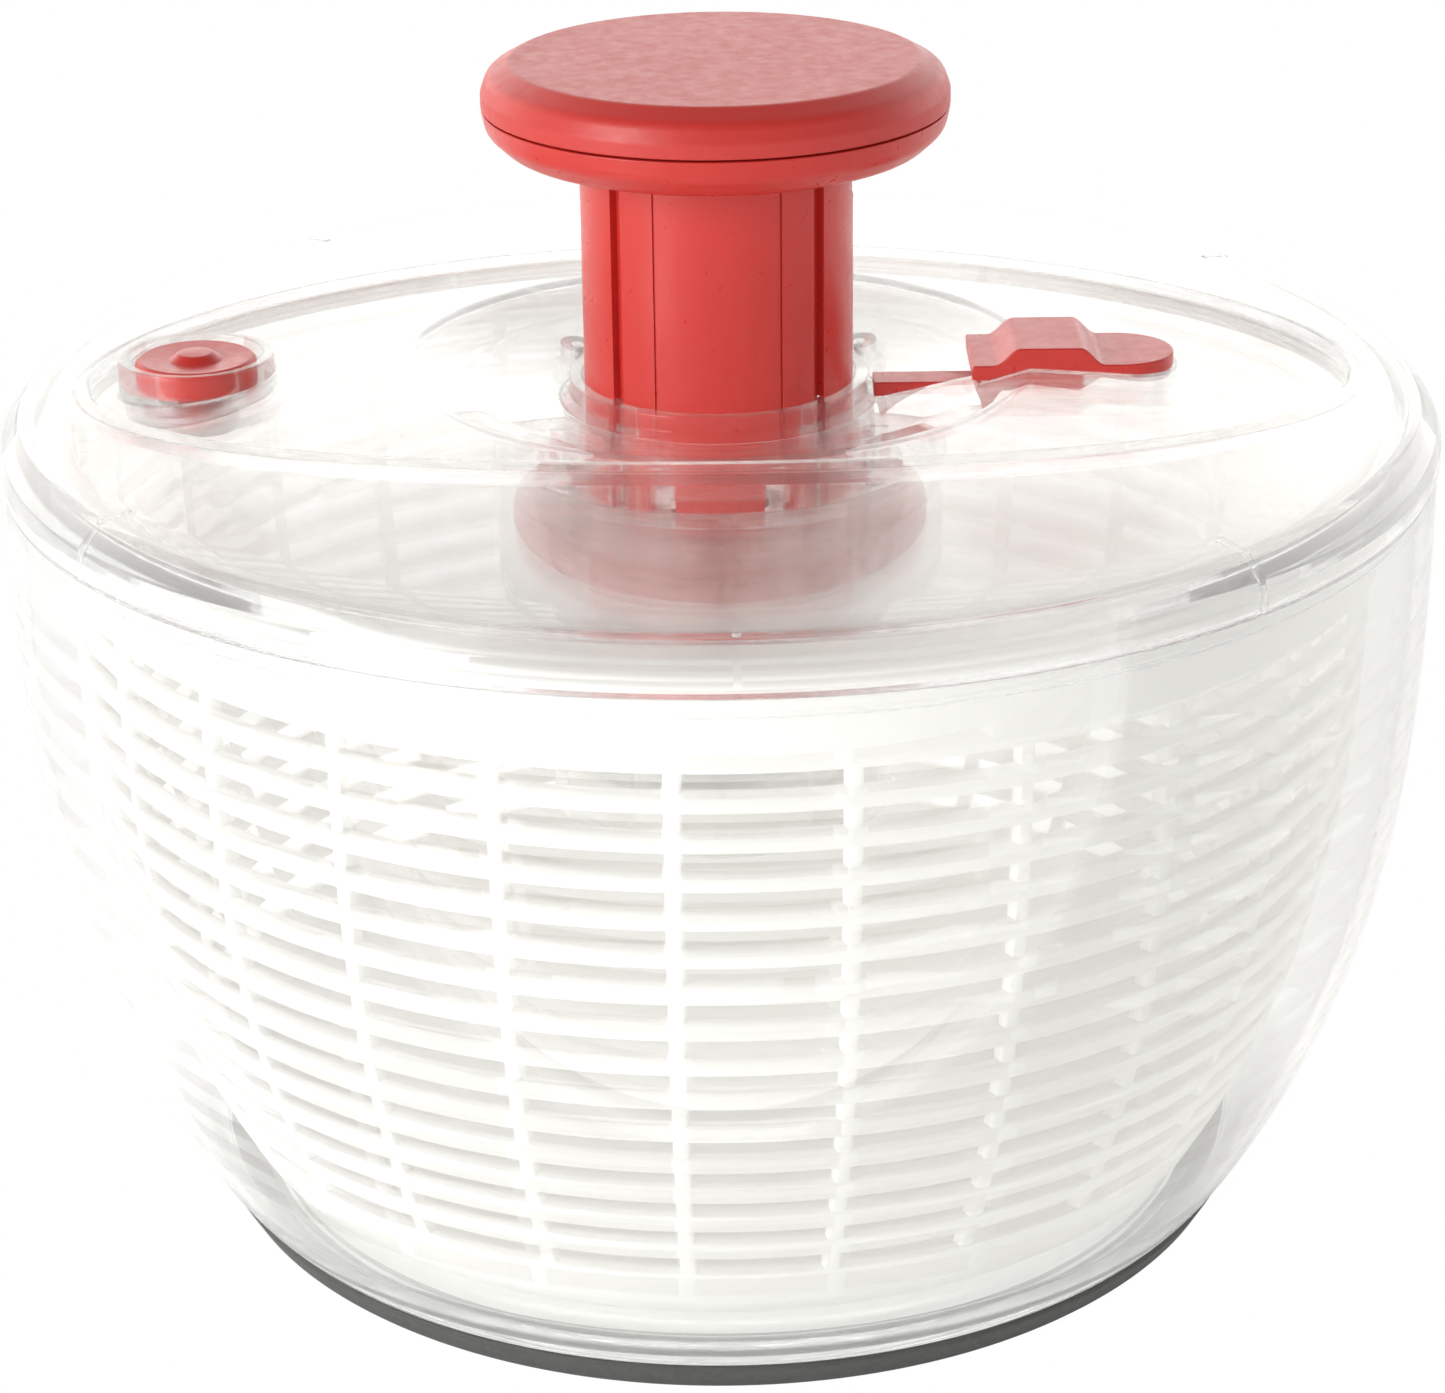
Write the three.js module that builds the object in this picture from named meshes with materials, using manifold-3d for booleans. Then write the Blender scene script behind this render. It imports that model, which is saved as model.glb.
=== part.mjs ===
// Pump-type salad spinner, in millimetres, +Z up.
// The origin is the centre of the rubber ring's underside, on the axis that the basket spins round.
// +X points to the knob lock, -X to the brake button and -Y to the front.

import * as THREE from 'three';
import { mergeVertices } from 'three/addons/utils/BufferGeometryUtils.js';
import Module from 'manifold-3d';

const wasm = await Module();
wasm.setup();

// ---------------------------------------------------------------- driving dimensions

const GAP = 0.3; // between pieces that touch
const RUN = 0.1; // radial play of a bearing
const WIDE = 40; // facets round the bowl and the lid
const MIDDLE = 32; // facets round the pump parts
const SMALL = 16; // facets round buttons and screws

// bowl: the wall flares out from the foot to the straight upper part
const FLARE_TOP = 140;
const FLARE_POWER = 2.9;
const CROWDING = 1.2; // draws a wall's profile points towards its foot
const BOWL_R = 131.7;
const BOWL_FLARE = 34.3;
const BOWL_WALL = 3;
const BOWL_BOTTOM = 6.3;
const BOWL_FLOOR = 9.3;
const BOWL_TOP = 146;
const FOOT_RIB = { inner: 92, outer: 95, bottom: 3.6 };
const PIVOT = { wide: 6, narrow: 4, top: 13.8 };

const RING = { inner: 92.6, bottom: 99, top: 101.6, height: 6 };

// basket: the same flare, a solid band at the top and one drain window in each bay between upright ribs
const BASKET_R = 121;
const BASKET_FLARE = 34;
const BASKET_WALL = 2.6;
const BASKET_RIM_R = 123.2;
const BASKET_BAND = 129.5;
const BASKET_TOP = 146;
const BASKET_FLOOR = { bottom: 15, top: 17.5 };
const BASKET_HUB = { radius: 9.5, bottom: 10.2 };
const RIBS = 26;
const FIRST_RIB_DEG = -93.9;
const WINDOW = { width: 6, bottom: 27 };

// lid
const DOME = { top: 164.5, fall: 0.00054 };
const LID_WALL = 2.5;
const SHOULDER = { radius: 127.5, z: 155.5 };
const LID_R = 132;
const LID_LIP = 146.3;
const LID_SKIRT = { inner: 125.6, outer: 127.8, bottom: 141.5 };
const OVAL = { x: 116, y: 65.6, depth: 3, wall: 2.5 };
const DISH = [[29.7, 152.5], [47, 156.5], [57.7, 159.7]];

// turntable that carries the basket round
const PLATE = { bottom: 139.6, top: 141.8, radius: 117 };
const LUGS = { count: 6, radius: 120.6, width: 8 };
const DRUM = { inner: 39.4, outer: 41.6, bottom: 115.5, floor: 117.7, round: 3 };
const CUP = { inner: 30.2, outer: 32.6, bottom: 72.3, floor: 74.6 };
const RATCHET = { teeth: 24, tip: 22.5, root: 24.8, outer: 29.9, top: 83.2 };

// pump: the tube slides in the sleeve, keyed by ribs that run in its grooves
const TRAVEL = 38;
const TUBE = { inner: 22.3, outer: 24.8, bottom: 134.5, leg: 133.3, web: 199.5 };
const SLEEVE = { inner: 26, outer: 28.4, floor: 84, floorTop: 86.3, top: 146.2, flange: 31.5 };
const COLLAR = { inner: 25.3, outer: 27.7, base: 29.3, top: 156.7 };
const KEY_FROM_FRONT_DEG = 47;
const KEY = { width: 2, reach: 23.7 };
const GROOVE = { width: 2.6, floor: 23.2 };
const LEG_SLOT = { from: 19, to: 30.5, top: 142.5 };
const SLEEVE_WINDOW = { half: 8.8, bottom: 132, top: 139.6 };
const KNOB = { radius: 42.2, seam: 207, top: 215.4, flat: 35.9, under: 198.4 };

// twisted spindle and its nut
const BAR = { width: 7, thick: 2.4, top: 155, bottom: 92, lead: 60 };
const STEPS_PER_TWIST = 48;
const NUT_PLAY = 1.2;
const JOURNAL_R = 3.6;
const POST = { inner: 5, outer: 7.5, bottom: 146, seat: 6 };
const SPRING = { radius: 17, wire: 0.9, turns: 11 };

// brake button on the left, knob lock on the right
const BRAKE_X = -96.5;
const BRAKE = { radius: 11.2, top: 161, nub: 4.4, travel: 3.4 };
const BRAKE_WELL = { inner: 12.4, outer: 14.4, floor: 151.6, bottom: 149.6, flange: 17.5 };
const LOCK = { left: 46.3, right: 84, half: 10, bottom: 157.2, top: 159.3 };
const GRIP = { base: [50, 71], top: [55, 66], z: 162.8, half: 8.5 };
const LATCH = { left: 28.6, right: 67, half: 3.4, bottom: 152.3, top: 155, block: 57.8, blockHalf: 5 };
const PEG = { left: 60, right: 63.5, half: 2 };
const LOCK_TRAVEL = 8;
const SCREWS = { count: 4, ring: 38.5, first: 45, ear: 5.5 };

// ---------------------------------------------------------------- colours

const CLEAR = { color: 0xf2f4f3, roughness: 0.08, metalness: 0, transparent: true, opacity: 0.35 };
const RED = { color: 0xd22a30, roughness: 0.38, metalness: 0 };
const WHITE = { color: 0xf1f0ec, roughness: 0.45, metalness: 0 };
const RUBBER = { color: 0x4b4b4c, roughness: 0.8, metalness: 0 };
const STEEL = { color: 0x8d9093, roughness: 0.3, metalness: 1 };

// ---------------------------------------------------------------- solids

const radians = THREE.MathUtils.degToRad;

function volumeOf(position, corners) {
  const a = new THREE.Vector3();
  const b = new THREE.Vector3();
  const c = new THREE.Vector3();
  let six = 0;
  for (let i = 0; i < corners.length; i += 3) {
    a.fromArray(position, 3 * corners[i]);
    b.fromArray(position, 3 * corners[i + 1]);
    c.fromArray(position, 3 * corners[i + 2]);
    six += a.dot(b.cross(c));
  }
  return six / 6;
}

// A closed geometry as a solid with merged corners, no flat triangles and its faces pointing out.
function solid(shape) {
  if (!shape.isBufferGeometry) return shape;
  const bare = shape.clone();
  bare.deleteAttribute('normal');
  bare.deleteAttribute('uv');
  const merged = mergeVertices(bare);
  const position = merged.attributes.position.array;
  const index = merged.index.array;
  const corners = [];
  for (let i = 0; i < index.length; i += 3) {
    const [a, b, c] = [index[i], index[i + 1], index[i + 2]];
    if (a !== b && b !== c && c !== a) corners.push(a, b, c);
  }
  if (volumeOf(position, corners) < 0) corners.reverse();
  return new wasm.Manifold(new wasm.Mesh({
    numProp: 3,
    vertProperties: Float32Array.from(position),
    triVerts: Uint32Array.from(corners),
  }));
}

const join = (first, ...rest) => rest.reduce((sum, next) => sum.add(solid(next)), solid(first));
const cut = (first, ...rest) => rest.reduce((left, next) => left.subtract(solid(next)), solid(first));
const common = (first, second) => solid(first).intersect(solid(second));

function node(name, finish, shape) {
  const { vertProperties, triVerts } = solid(shape).getMesh();
  const geometry = new THREE.BufferGeometry();
  geometry.setAttribute('position', new THREE.BufferAttribute(Float32Array.from(vertProperties), 3));
  geometry.setIndex(new THREE.BufferAttribute(Uint32Array.from(triVerts), 1));
  geometry.computeVertexNormals();
  const mesh = new THREE.Mesh(geometry, new THREE.MeshStandardMaterial(finish));
  mesh.name = name;
  return mesh;
}

// A profile of [radius, z] points turned round Z. One that leaves the axis closes on itself.
function turned(profile, facets) {
  const points = profile.map(([radius, z]) => new THREE.Vector2(radius, z));
  const onAxis = profile[0][0] === 0 && profile[profile.length - 1][0] === 0;
  if (!onAxis) points.push(points[0].clone());
  return new THREE.LatheGeometry(points, facets).rotateX(Math.PI / 2);
}

const tube = (inner, outer, bottom, top, facets) =>
  turned([[inner, bottom], [outer, bottom], [outer, top], [inner, top]], facets);

const rod = (radius, bottom, top, facets) =>
  turned([[0, bottom], [radius, bottom], [radius, top], [0, top]], facets);

function box(x, y, z) {
  const size = [x, y, z].map(([low, high]) => high - low);
  const middle = [x, y, z].map(([low, high]) => (low + high) / 2);
  return new THREE.BoxGeometry(...size).translate(...middle);
}

function extruded(shape, bottom, top, curveSegments = 12) {
  const settings = { depth: top - bottom, bevelEnabled: false, curveSegments };
  return new THREE.ExtrudeGeometry(shape, settings).translate(0, 0, bottom);
}

function ovalPrism(x, y, bottom, top) {
  const outline = new THREE.Shape();
  outline.absellipse(0, 0, x, y, 0, 2 * Math.PI);
  return extruded(outline, bottom, top, WIDE / 2);
}

// A piece of a ring between two angles, in degrees from +X.
function sector(inner, outer, from, to, bottom, top) {
  const outline = new THREE.Shape();
  outline.absarc(0, 0, outer, radians(from), radians(to), false);
  outline.absarc(0, 0, inner, radians(to), radians(from), true);
  return extruded(outline, bottom, top, 4);
}

class Helix extends THREE.Curve {
  constructor(radius, bottom, top, turns) {
    super();
    Object.assign(this, { radius, bottom, top, turns });
  }

  getPoint(t, target = new THREE.Vector3()) {
    const angle = 2 * Math.PI * this.turns * t;
    const z = THREE.MathUtils.lerp(this.bottom, this.top, t);
    return target.set(this.radius * Math.cos(angle), this.radius * Math.sin(angle), z);
  }
}

function coil({ radius, wire, turns }, bottom, top, stepsPerTurn) {
  const section = new THREE.Shape();
  section.absarc(0, 0, wire, 0, 2 * Math.PI);
  return new THREE.ExtrudeGeometry(section, {
    extrudePath: new Helix(radius, bottom + wire, top - wire, turns),
    steps: Math.round(turns * stepsPerTurn),
    curveSegments: 3,
    bevelEnabled: false,
  });
}

// A flat bar that turns once in one lead. Its faces are straight across X at z = 0.
function twistedBar(width, thick, bottom, top, lead) {
  const slices = Math.round((top - bottom) / (lead / STEPS_PER_TWIST));
  const bar = new THREE.BoxGeometry(width, thick, top - bottom, 1, 1, slices);
  bar.translate(0, 0, (bottom + top) / 2);
  const corners = bar.attributes.position;
  const corner = new THREE.Vector3();
  const up = new THREE.Vector3(0, 0, 1);
  for (let i = 0; i < corners.count; i += 1) {
    corner.fromBufferAttribute(corners, i);
    corner.applyAxisAngle(up, (2 * Math.PI * corner.z) / lead);
    corners.setXYZ(i, corner.x, corner.y, corner.z);
  }
  return bar;
}

const evenly = (count, make) => Array.from({ length: count }, (_, i) => make((360 * i) / count, i));
const keyAngles = [-90, 90].flatMap((side) => [side - KEY_FROM_FRONT_DEG, side + KEY_FROM_FRONT_DEG]);

// ---------------------------------------------------------------- bowl and ring

const flare = (radius, drop, z) => radius - drop * Math.max(0, 1 - z / FLARE_TOP) ** FLARE_POWER;

// Points of a flared wall, closer together where it curves most.
function flaredWall(radius, drop, bottom, steps) {
  return Array.from({ length: steps + 1 }, (_, i) => {
    const z = bottom + (FLARE_TOP - bottom) * (i / steps) ** CROWDING;
    return [flare(radius, drop, z), z];
  });
}

function bowl() {
  const outside = flaredWall(BOWL_R, BOWL_FLARE, BOWL_BOTTOM, 4);
  const inside = flaredWall(BOWL_R - BOWL_WALL, BOWL_FLARE, BOWL_FLOOR, 4).reverse();
  const profile = [
    [0, BOWL_BOTTOM],
    [FOOT_RIB.inner, BOWL_BOTTOM],
    [FOOT_RIB.inner, FOOT_RIB.bottom],
    [FOOT_RIB.outer, FOOT_RIB.bottom],
    [FOOT_RIB.outer, BOWL_BOTTOM],
    ...outside,
    [BOWL_R, BOWL_TOP],
    [BOWL_R - BOWL_WALL, BOWL_TOP],
    ...inside,
    [PIVOT.wide, BOWL_FLOOR],
    [PIVOT.narrow, PIVOT.top - 1],
    [PIVOT.narrow - 1, PIVOT.top],
    [0, PIVOT.top],
  ];
  return turned(profile, WIDE);
}

function baseRing() {
  const { inner, bottom, top, height } = RING;
  const groove = FOOT_RIB.bottom - GAP; // the ring hooks under the bowl's foot rib
  return turned([
    [inner, 1],
    [inner + 1, 0],
    [bottom - 1, 0],
    [bottom, 1],
    [top, height],
    [FOOT_RIB.outer + GAP, height],
    [FOOT_RIB.outer + GAP, groove],
    [inner, groove],
  ], WIDE);
}

// ---------------------------------------------------------------- basket

// One tall drain window in each bay between two ribs.
function basketWindows() {
  const half = WINDOW.width / 2;
  const foot = flare(BASKET_R, BASKET_FLARE, WINDOW.bottom);
  return evenly(RIBS, (angle) =>
    box([foot - 14, BASKET_RIM_R + 4], [-half, half], [WINDOW.bottom, BASKET_BAND])
      .rotateZ(radians(FIRST_RIB_DEG + 180 / RIBS + angle)));
}

// The wall stands round the floor with a fine gap.
function basketWall() {
  const inner = BASKET_R - BASKET_WALL;
  const { bottom } = BASKET_FLOOR;
  const outside = flaredWall(BASKET_R, BASKET_FLARE, bottom, 3).slice(0, -1);
  const inside = flaredWall(inner, BASKET_FLARE, bottom, 3).reverse();
  const shell = turned([
    ...outside,
    [BASKET_R, BASKET_BAND],
    [BASKET_RIM_R, BASKET_BAND + 1.5],
    [BASKET_RIM_R, BASKET_TOP],
    [inner, BASKET_TOP],
    ...inside,
  ], 2 * RIBS).rotateZ(radians(FIRST_RIB_DEG));
  const notchHalf = LUGS.width / 2 + 0.5;
  const notches = evenly(LUGS.count, (angle) =>
    box([LUGS.radius - 6, LUGS.radius + 0.6], [-notchHalf, notchHalf], [PLATE.bottom - 1, BASKET_TOP + 1])
      .rotateZ(radians(angle)));
  return cut(shell, ...basketWindows(), ...notches);
}

function basketFloor() {
  const hub = BASKET_HUB;
  const { bottom, top } = BASKET_FLOOR;
  const edge = flare(BASKET_R - BASKET_WALL, BASKET_FLARE, bottom) - GAP;
  return turned([
    [0, PIVOT.top + GAP],
    [PIVOT.narrow - 1 + GAP, PIVOT.top + GAP],
    [PIVOT.narrow + GAP, PIVOT.top - 1 + GAP],
    [PIVOT.wide + GAP, hub.bottom],
    [hub.radius, hub.bottom],
    [hub.radius, bottom],
    [edge, bottom],
    [edge, top],
    [0, top],
  ], 2 * RIBS).rotateZ(radians(FIRST_RIB_DEG));
}

// ---------------------------------------------------------------- lid

const domeZ = (radius) => DOME.top - DOME.fall * radius * radius;
const domeLine = (from, to, steps, drop) => Array.from({ length: steps + 1 }, (_, i) => {
  const radius = from + ((to - from) * i) / steps;
  return [radius, domeZ(radius) - drop];
});

// Outline of the lock's opening or plate: square towards the knob, round at the far end.
function lockOutline(left, right, half) {
  const outline = new THREE.Shape();
  outline.moveTo(left, -half);
  outline.lineTo(right - half, -half);
  outline.absarc(right - half, 0, half, -Math.PI / 2, Math.PI / 2, false);
  outline.lineTo(left, half);
  outline.closePath();
  return outline;
}

// The shell, its oval recess and the dish round the pump are made right through to the axis, then bored.
function lidCover() {
  const inner = 24;
  const low = LID_SKIRT.bottom;
  const high = DOME.top + 20;
  const skirtTop = domeZ(LID_SKIRT.inner) - LID_WALL;
  const cap = turned([
    ...domeLine(inner, SHOULDER.radius - 2, 3, 0),
    [SHOULDER.radius, SHOULDER.z],
    [LID_R, 150],
    [LID_R, LID_LIP],
    [LID_SKIRT.outer, LID_LIP],
    [LID_SKIRT.outer, LID_SKIRT.bottom],
    [LID_SKIRT.inner, LID_SKIRT.bottom],
    [LID_SKIRT.inner, skirtTop],
    ...domeLine(inner, LID_SKIRT.inner - 2, 3, LID_WALL).reverse(),
  ], WIDE);
  const slope = (DISH[1][1] - DISH[0][1]) / (DISH[1][0] - DISH[0][0]);
  const start = [inner, DISH[0][1] - slope * (DISH[0][0] - inner)];
  const floor = [start, ...DISH.slice(1), ...domeLine(DISH[2][0] + 4, LID_R, 3, OVAL.depth)];
  const underside = floor.map(([radius, z]) => [radius, z - LID_WALL]);
  const under = turned([...underside, ...domeLine(inner, LID_R, 3, LID_WALL / 2).reverse()], WIDE);
  const air = turned([...floor, [LID_R, high], [inner, high]], WIDE);
  const well = common(under, ovalPrism(OVAL.x + OVAL.wall, OVAL.y + OVAL.wall, low, high));
  const recess = common(air, ovalPrism(OVAL.x, OVAL.y, low, high));
  const posts = evenly(SCREWS.count, (angle) => {
    const post = tube(1.2, 3.4, COLLAR_FLANGE.top + GAP, 153.4, 12).translate(SCREWS.ring, 0, 0);
    return post.rotateZ(radians(angle + SCREWS.first));
  });
  const centre = rod(DISH[0][0], low, high, MIDDLE);
  const brakeHole = rod(BRAKE_WELL.outer + GAP, low, high, SMALL).translate(BRAKE_X, 0, 0);
  const lockHole = extruded(lockOutline(LOCK.left + 0.9, LOCK.right + 0.9, LOCK.half + 0.6), low, high, 6);
  const latchHalf = LATCH.half + 0.8;
  const latchWay = box([DISH[0][0] - 4, LOCK.left + 4], [-latchHalf, latchHalf], [low, high]);
  return cut(join(cut(join(cap, well), recess), ...posts), centre, brakeHole, lockHole, latchWay);
}

// ---------------------------------------------------------------- pump guide

const SLEEVE_FLANGE = { bottom: 144.6, top: SLEEVE.top };
const COLLAR_FLANGE = { bottom: SLEEVE.top + GAP, top: 148.3 };

const screwHoles = (radius, bottom, top) => evenly(SCREWS.count, (angle) =>
  rod(radius, bottom - 1, top + 1, 12).translate(SCREWS.ring, 0, 0).rotateZ(radians(angle + SCREWS.first)));

// Ears that carry the screws, flat with the flange they grow out of.
const ears = (bottom, top) => evenly(SCREWS.count, (angle) => [
  box([SLEEVE.flange - 1.5, SCREWS.ring], [-SCREWS.ear, SCREWS.ear], [bottom, top]),
  rod(SCREWS.ear, bottom, top, SMALL).translate(SCREWS.ring, 0, 0),
].map((piece) => piece.rotateZ(radians(angle + SCREWS.first)))).flat();

const keys = (outer, bottom, top) => keyAngles.map((angle) =>
  box([KEY.reach, outer], [-KEY.width / 2, KEY.width / 2], [bottom, top]).rotateZ(radians(angle)));

function guideSleeve() {
  const shell = turned([
    [JOURNAL_R + RUN, SLEEVE.floor],
    [SLEEVE.outer, SLEEVE.floor],
    [SLEEVE.outer, SLEEVE_FLANGE.bottom],
    [SLEEVE.flange, SLEEVE_FLANGE.bottom],
    [SLEEVE.flange, SLEEVE_FLANGE.top],
    [SLEEVE.inner, SLEEVE_FLANGE.top],
    [SLEEVE.inner, SLEEVE.floorTop],
    [JOURNAL_R + RUN, SLEEVE.floorTop],
  ], MIDDLE);
  const ribs = keys(SLEEVE.inner + 0.5, 100, SLEEVE.top);
  const ribbed = join(shell, ...ribs, ...ears(SLEEVE_FLANGE.bottom, SLEEVE_FLANGE.top));
  const { half, bottom, top } = SLEEVE_WINDOW;
  const frontWindow = box([-half, half], [-SLEEVE.outer - 1, -20], [bottom, top]);
  return cut(ribbed, frontWindow, ...screwHoles(1.9, SLEEVE_FLANGE.bottom, SLEEVE_FLANGE.top));
}

function guideCollar() {
  const shell = turned([
    [COLLAR.inner, COLLAR_FLANGE.bottom],
    [SLEEVE.flange, COLLAR_FLANGE.bottom],
    [SLEEVE.flange, COLLAR_FLANGE.top],
    [COLLAR.base, COLLAR_FLANGE.top],
    [COLLAR.base, DISH[0][1]],
    [COLLAR.outer, DISH[0][1] + 1],
    [COLLAR.outer, COLLAR.top - 0.5],
    [COLLAR.outer - 0.5, COLLAR.top],
    [COLLAR.inner, COLLAR.top],
  ], MIDDLE);
  const ribs = keys(COLLAR.inner + 0.5, COLLAR_FLANGE.bottom, COLLAR.top);
  const ribbed = join(shell, ...ribs, ...ears(COLLAR_FLANGE.bottom, COLLAR_FLANGE.top));
  const latchWay = box([20, 32], [-LATCH.half - 0.6, LATCH.half + 0.6], [LATCH.bottom - 0.4, LATCH.top + 0.4]);
  return cut(ribbed, latchWay, ...screwHoles(1.9, COLLAR_FLANGE.bottom, COLLAR_FLANGE.top));
}

function lidScrew(angle) {
  const head = SLEEVE_FLANGE.bottom - GAP;
  return turned([
    [0, 142.6], [1.9, 142.6], [2.8, 143.2], [2.8, head], [0.9, head], [0.9, 151.4], [0, 152],
  ], SMALL).translate(SCREWS.ring, 0, 0).rotateZ(radians(angle + SCREWS.first));
}

// ---------------------------------------------------------------- turntable and ratchet

function turntable() {
  const tail = 3 + RUN;
  const plate = turned([
    [tail, CUP.bottom],
    [CUP.outer, CUP.bottom],
    [CUP.outer, DRUM.bottom],
    [DRUM.outer - DRUM.round, DRUM.bottom],
    [DRUM.outer, DRUM.bottom + DRUM.round],
    [DRUM.outer, PLATE.bottom],
    [PLATE.radius, PLATE.bottom],
    [PLATE.radius, PLATE.top],
    [DRUM.inner, PLATE.top],
    [DRUM.inner, DRUM.floor + DRUM.round],
    [DRUM.inner - DRUM.round, DRUM.floor],
    [CUP.inner, DRUM.floor],
    [CUP.inner, CUP.floor],
    [tail, CUP.floor],
  ], MIDDLE);
  const half = LUGS.width / 2;
  const lugs = evenly(LUGS.count, (angle) =>
    box([PLATE.radius - 4, LUGS.radius], [-half, half], [PLATE.bottom, PLATE.top]).rotateZ(radians(angle)));
  return join(plate, ...lugs);
}

function ratchetRing() {
  const outline = new THREE.Shape();
  outline.absarc(0, 0, RATCHET.outer, 0, 2 * Math.PI);
  const teeth = new THREE.Path();
  const pitch = (2 * Math.PI) / RATCHET.teeth;
  teeth.moveTo(RATCHET.tip, 0);
  for (let tooth = 0; tooth < RATCHET.teeth; tooth += 1) {
    const start = tooth * pitch;
    teeth.lineTo(RATCHET.root * Math.cos(start), RATCHET.root * Math.sin(start));
    teeth.lineTo(RATCHET.tip * Math.cos(start + pitch), RATCHET.tip * Math.sin(start + pitch));
  }
  outline.holes.push(teeth);
  return extruded(outline, CUP.floor + GAP, RATCHET.top, 40);
}

// Hub with three springy arms; each ends in a tooth that stands just clear of the ratchet ring.
function pawlWheel() {
  const bottom = CUP.floor + 2.4;
  const top = RATCHET.top - 0.6;
  const bore = rod(3.7, bottom - 1, top + 1, 6);
  const arms = evenly(3, (angle) => join(
    box([7, 19], [-1.5, 1.5], [bottom, top]).rotateZ(radians(angle)),
    sector(17, 19, angle - 4, angle + 72, bottom, top),
    sector(18, 22.1, angle + 66, angle + 74, bottom, top),
  ));
  return cut(join(rod(8, bottom, top, SMALL), ...arms), bore);
}

// ---------------------------------------------------------------- spindle

function spindle() {
  const hexTop = SLEEVE.floor - GAP;
  const hexBottom = CUP.floor + GAP;
  const bar = twistedBar(BAR.width, BAR.thick, BAR.bottom - 2, BAR.top, BAR.lead);
  const shaft = join(
    bar,
    rod(4.6, SLEEVE.floorTop + GAP, BAR.bottom, MIDDLE),
    rod(JOURNAL_R, hexTop - 1, SLEEVE.floorTop + 1, MIDDLE),
    rod(3.4, hexBottom, hexTop, 6),
    rod(3, CUP.bottom - GAP, hexBottom + 1, MIDDLE),
  );
  return cut(shaft, rod(1.5, CUP.bottom - 2, CUP.bottom + 7, 12));
}

const spindleWasher = () => tube(1.5, 8, 69.9, CUP.bottom - 2 * GAP, SMALL);

const spindleScrew = () => turned([
  [0, 67.4], [2.6, 67.4], [3.4, 68], [3.4, 69.6], [1.2, 69.6], [1.2, 78], [0, 78.6],
], SMALL);

// ---------------------------------------------------------------- pump

function plungerTube() {
  const { inner, outer, bottom, leg, web } = TUBE;
  const shell = turned([
    [inner, leg],
    [outer, leg],
    [outer, KNOB.under + 0.5],
    [28, KNOB.under],
    [32, KNOB.under + 0.2],
    [36.5, KNOB.under + 1.4],
    [39.8, KNOB.under + 3.5],
    [41.6, KNOB.under + 6],
    [KNOB.radius, KNOB.seam],
    [KNOB.radius - 2.6, KNOB.seam],
    [37.2, KNOB.under + 5],
    [32, web + 2.2],
    [POST.outer + GAP, web + 2.2],
    [POST.outer + GAP, web],
    [inner, web],
  ], MIDDLE);
  const grooves = keyAngles.map((angle) =>
    box([GROOVE.floor, outer + 1], [-GROOVE.width / 2, GROOVE.width / 2], [leg - 1, web - 3])
      .rotateZ(radians(angle)));
  const legSlots = [-90, 90].flatMap((side) => [-1, 1].map((hand) => {
    const edges = [side + hand * LEG_SLOT.from, side + hand * LEG_SLOT.to].sort((a, b) => a - b);
    return sector(inner - 1, outer + 1, ...edges, leg - 1, LEG_SLOT.top);
  }));
  const sides = [0, 180].map((side) => sector(inner - 1, outer + 1, side - 60, side + 60, leg - 1, bottom));
  const half = LATCH.half + 0.8;
  const lockNotches = [0, TRAVEL].map((rise) =>
    box([inner - 2, outer + 1], [-half, half], [LATCH.bottom - 0.4 + rise, LATCH.top + 0.4 + rise]));
  return cut(shell, ...grooves, ...legSlots, ...sides, ...lockNotches);
}

function knobCap() {
  const { radius, seam, top, flat } = KNOB;
  return turned([
    [0, top],
    [flat, top],
    [38.9, top - 0.7],
    [41.1, top - 2.6],
    [radius, top - 5.2],
    [radius, seam + GAP],
    [radius - 2.4, seam + GAP],
    [radius - 2.6, top - 5],
    [38, top - 3],
    [flat, top - 2.4],
    [0, top - 2.4],
  ], MIDDLE);
}

function drivePost() {
  const flangeBottom = TUBE.web + 2.2 + GAP;
  return turned([
    [POST.seat, POST.bottom],
    [POST.outer, POST.bottom],
    [POST.outer, flangeBottom],
    [13, flangeBottom],
    [13, flangeBottom + 2],
    [POST.inner, flangeBottom + 2],
    [POST.inner, 154],
    [POST.seat, 154],
  ], SMALL);
}

function driveNut() {
  const bottom = POST.bottom + GAP;
  const top = 153.7;
  const slot = twistedBar(BAR.width + NUT_PLAY, BAR.thick + NUT_PLAY, bottom - 1.3, top + 1.3, BAR.lead);
  return cut(rod(POST.seat - GAP, bottom, top, SMALL), slot);
}

const returnSpring = () => coil(SPRING, SLEEVE.floorTop + GAP, TUBE.web - GAP, 8);

// ---------------------------------------------------------------- brake

function brakeGuide() {
  const { inner, outer, floor, bottom, flange } = BRAKE_WELL;
  return turned([
    [4.6, bottom],
    [flange, bottom],
    [flange, floor],
    [outer, floor],
    [outer, BRAKE.top - 0.4],
    [outer - 0.4, BRAKE.top],
    [inner, BRAKE.top],
    [inner, floor],
    [4.6, floor],
  ], SMALL).translate(BRAKE_X, 0, 0);
}

function brakeButton() {
  const { radius, top, nub } = BRAKE;
  return turned([
    [0, top + 0.6],
    [nub - 1, top + 0.5],
    [nub, top - 0.6],
    [nub + 0.6, top - 0.9],
    [radius - 1, top - 0.5],
    [radius, top - 1],
    [radius, 155.5],
    [radius - 1.6, 155.5],
    [radius - 1.6, 158.6],
    [3.8, 158.6],
    [3.8, 148.1],
    [2, 148.1],
    [2, 146.5],
    [0, 146.5],
  ], SMALL).translate(BRAKE_X, 0, 0);
}

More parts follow.
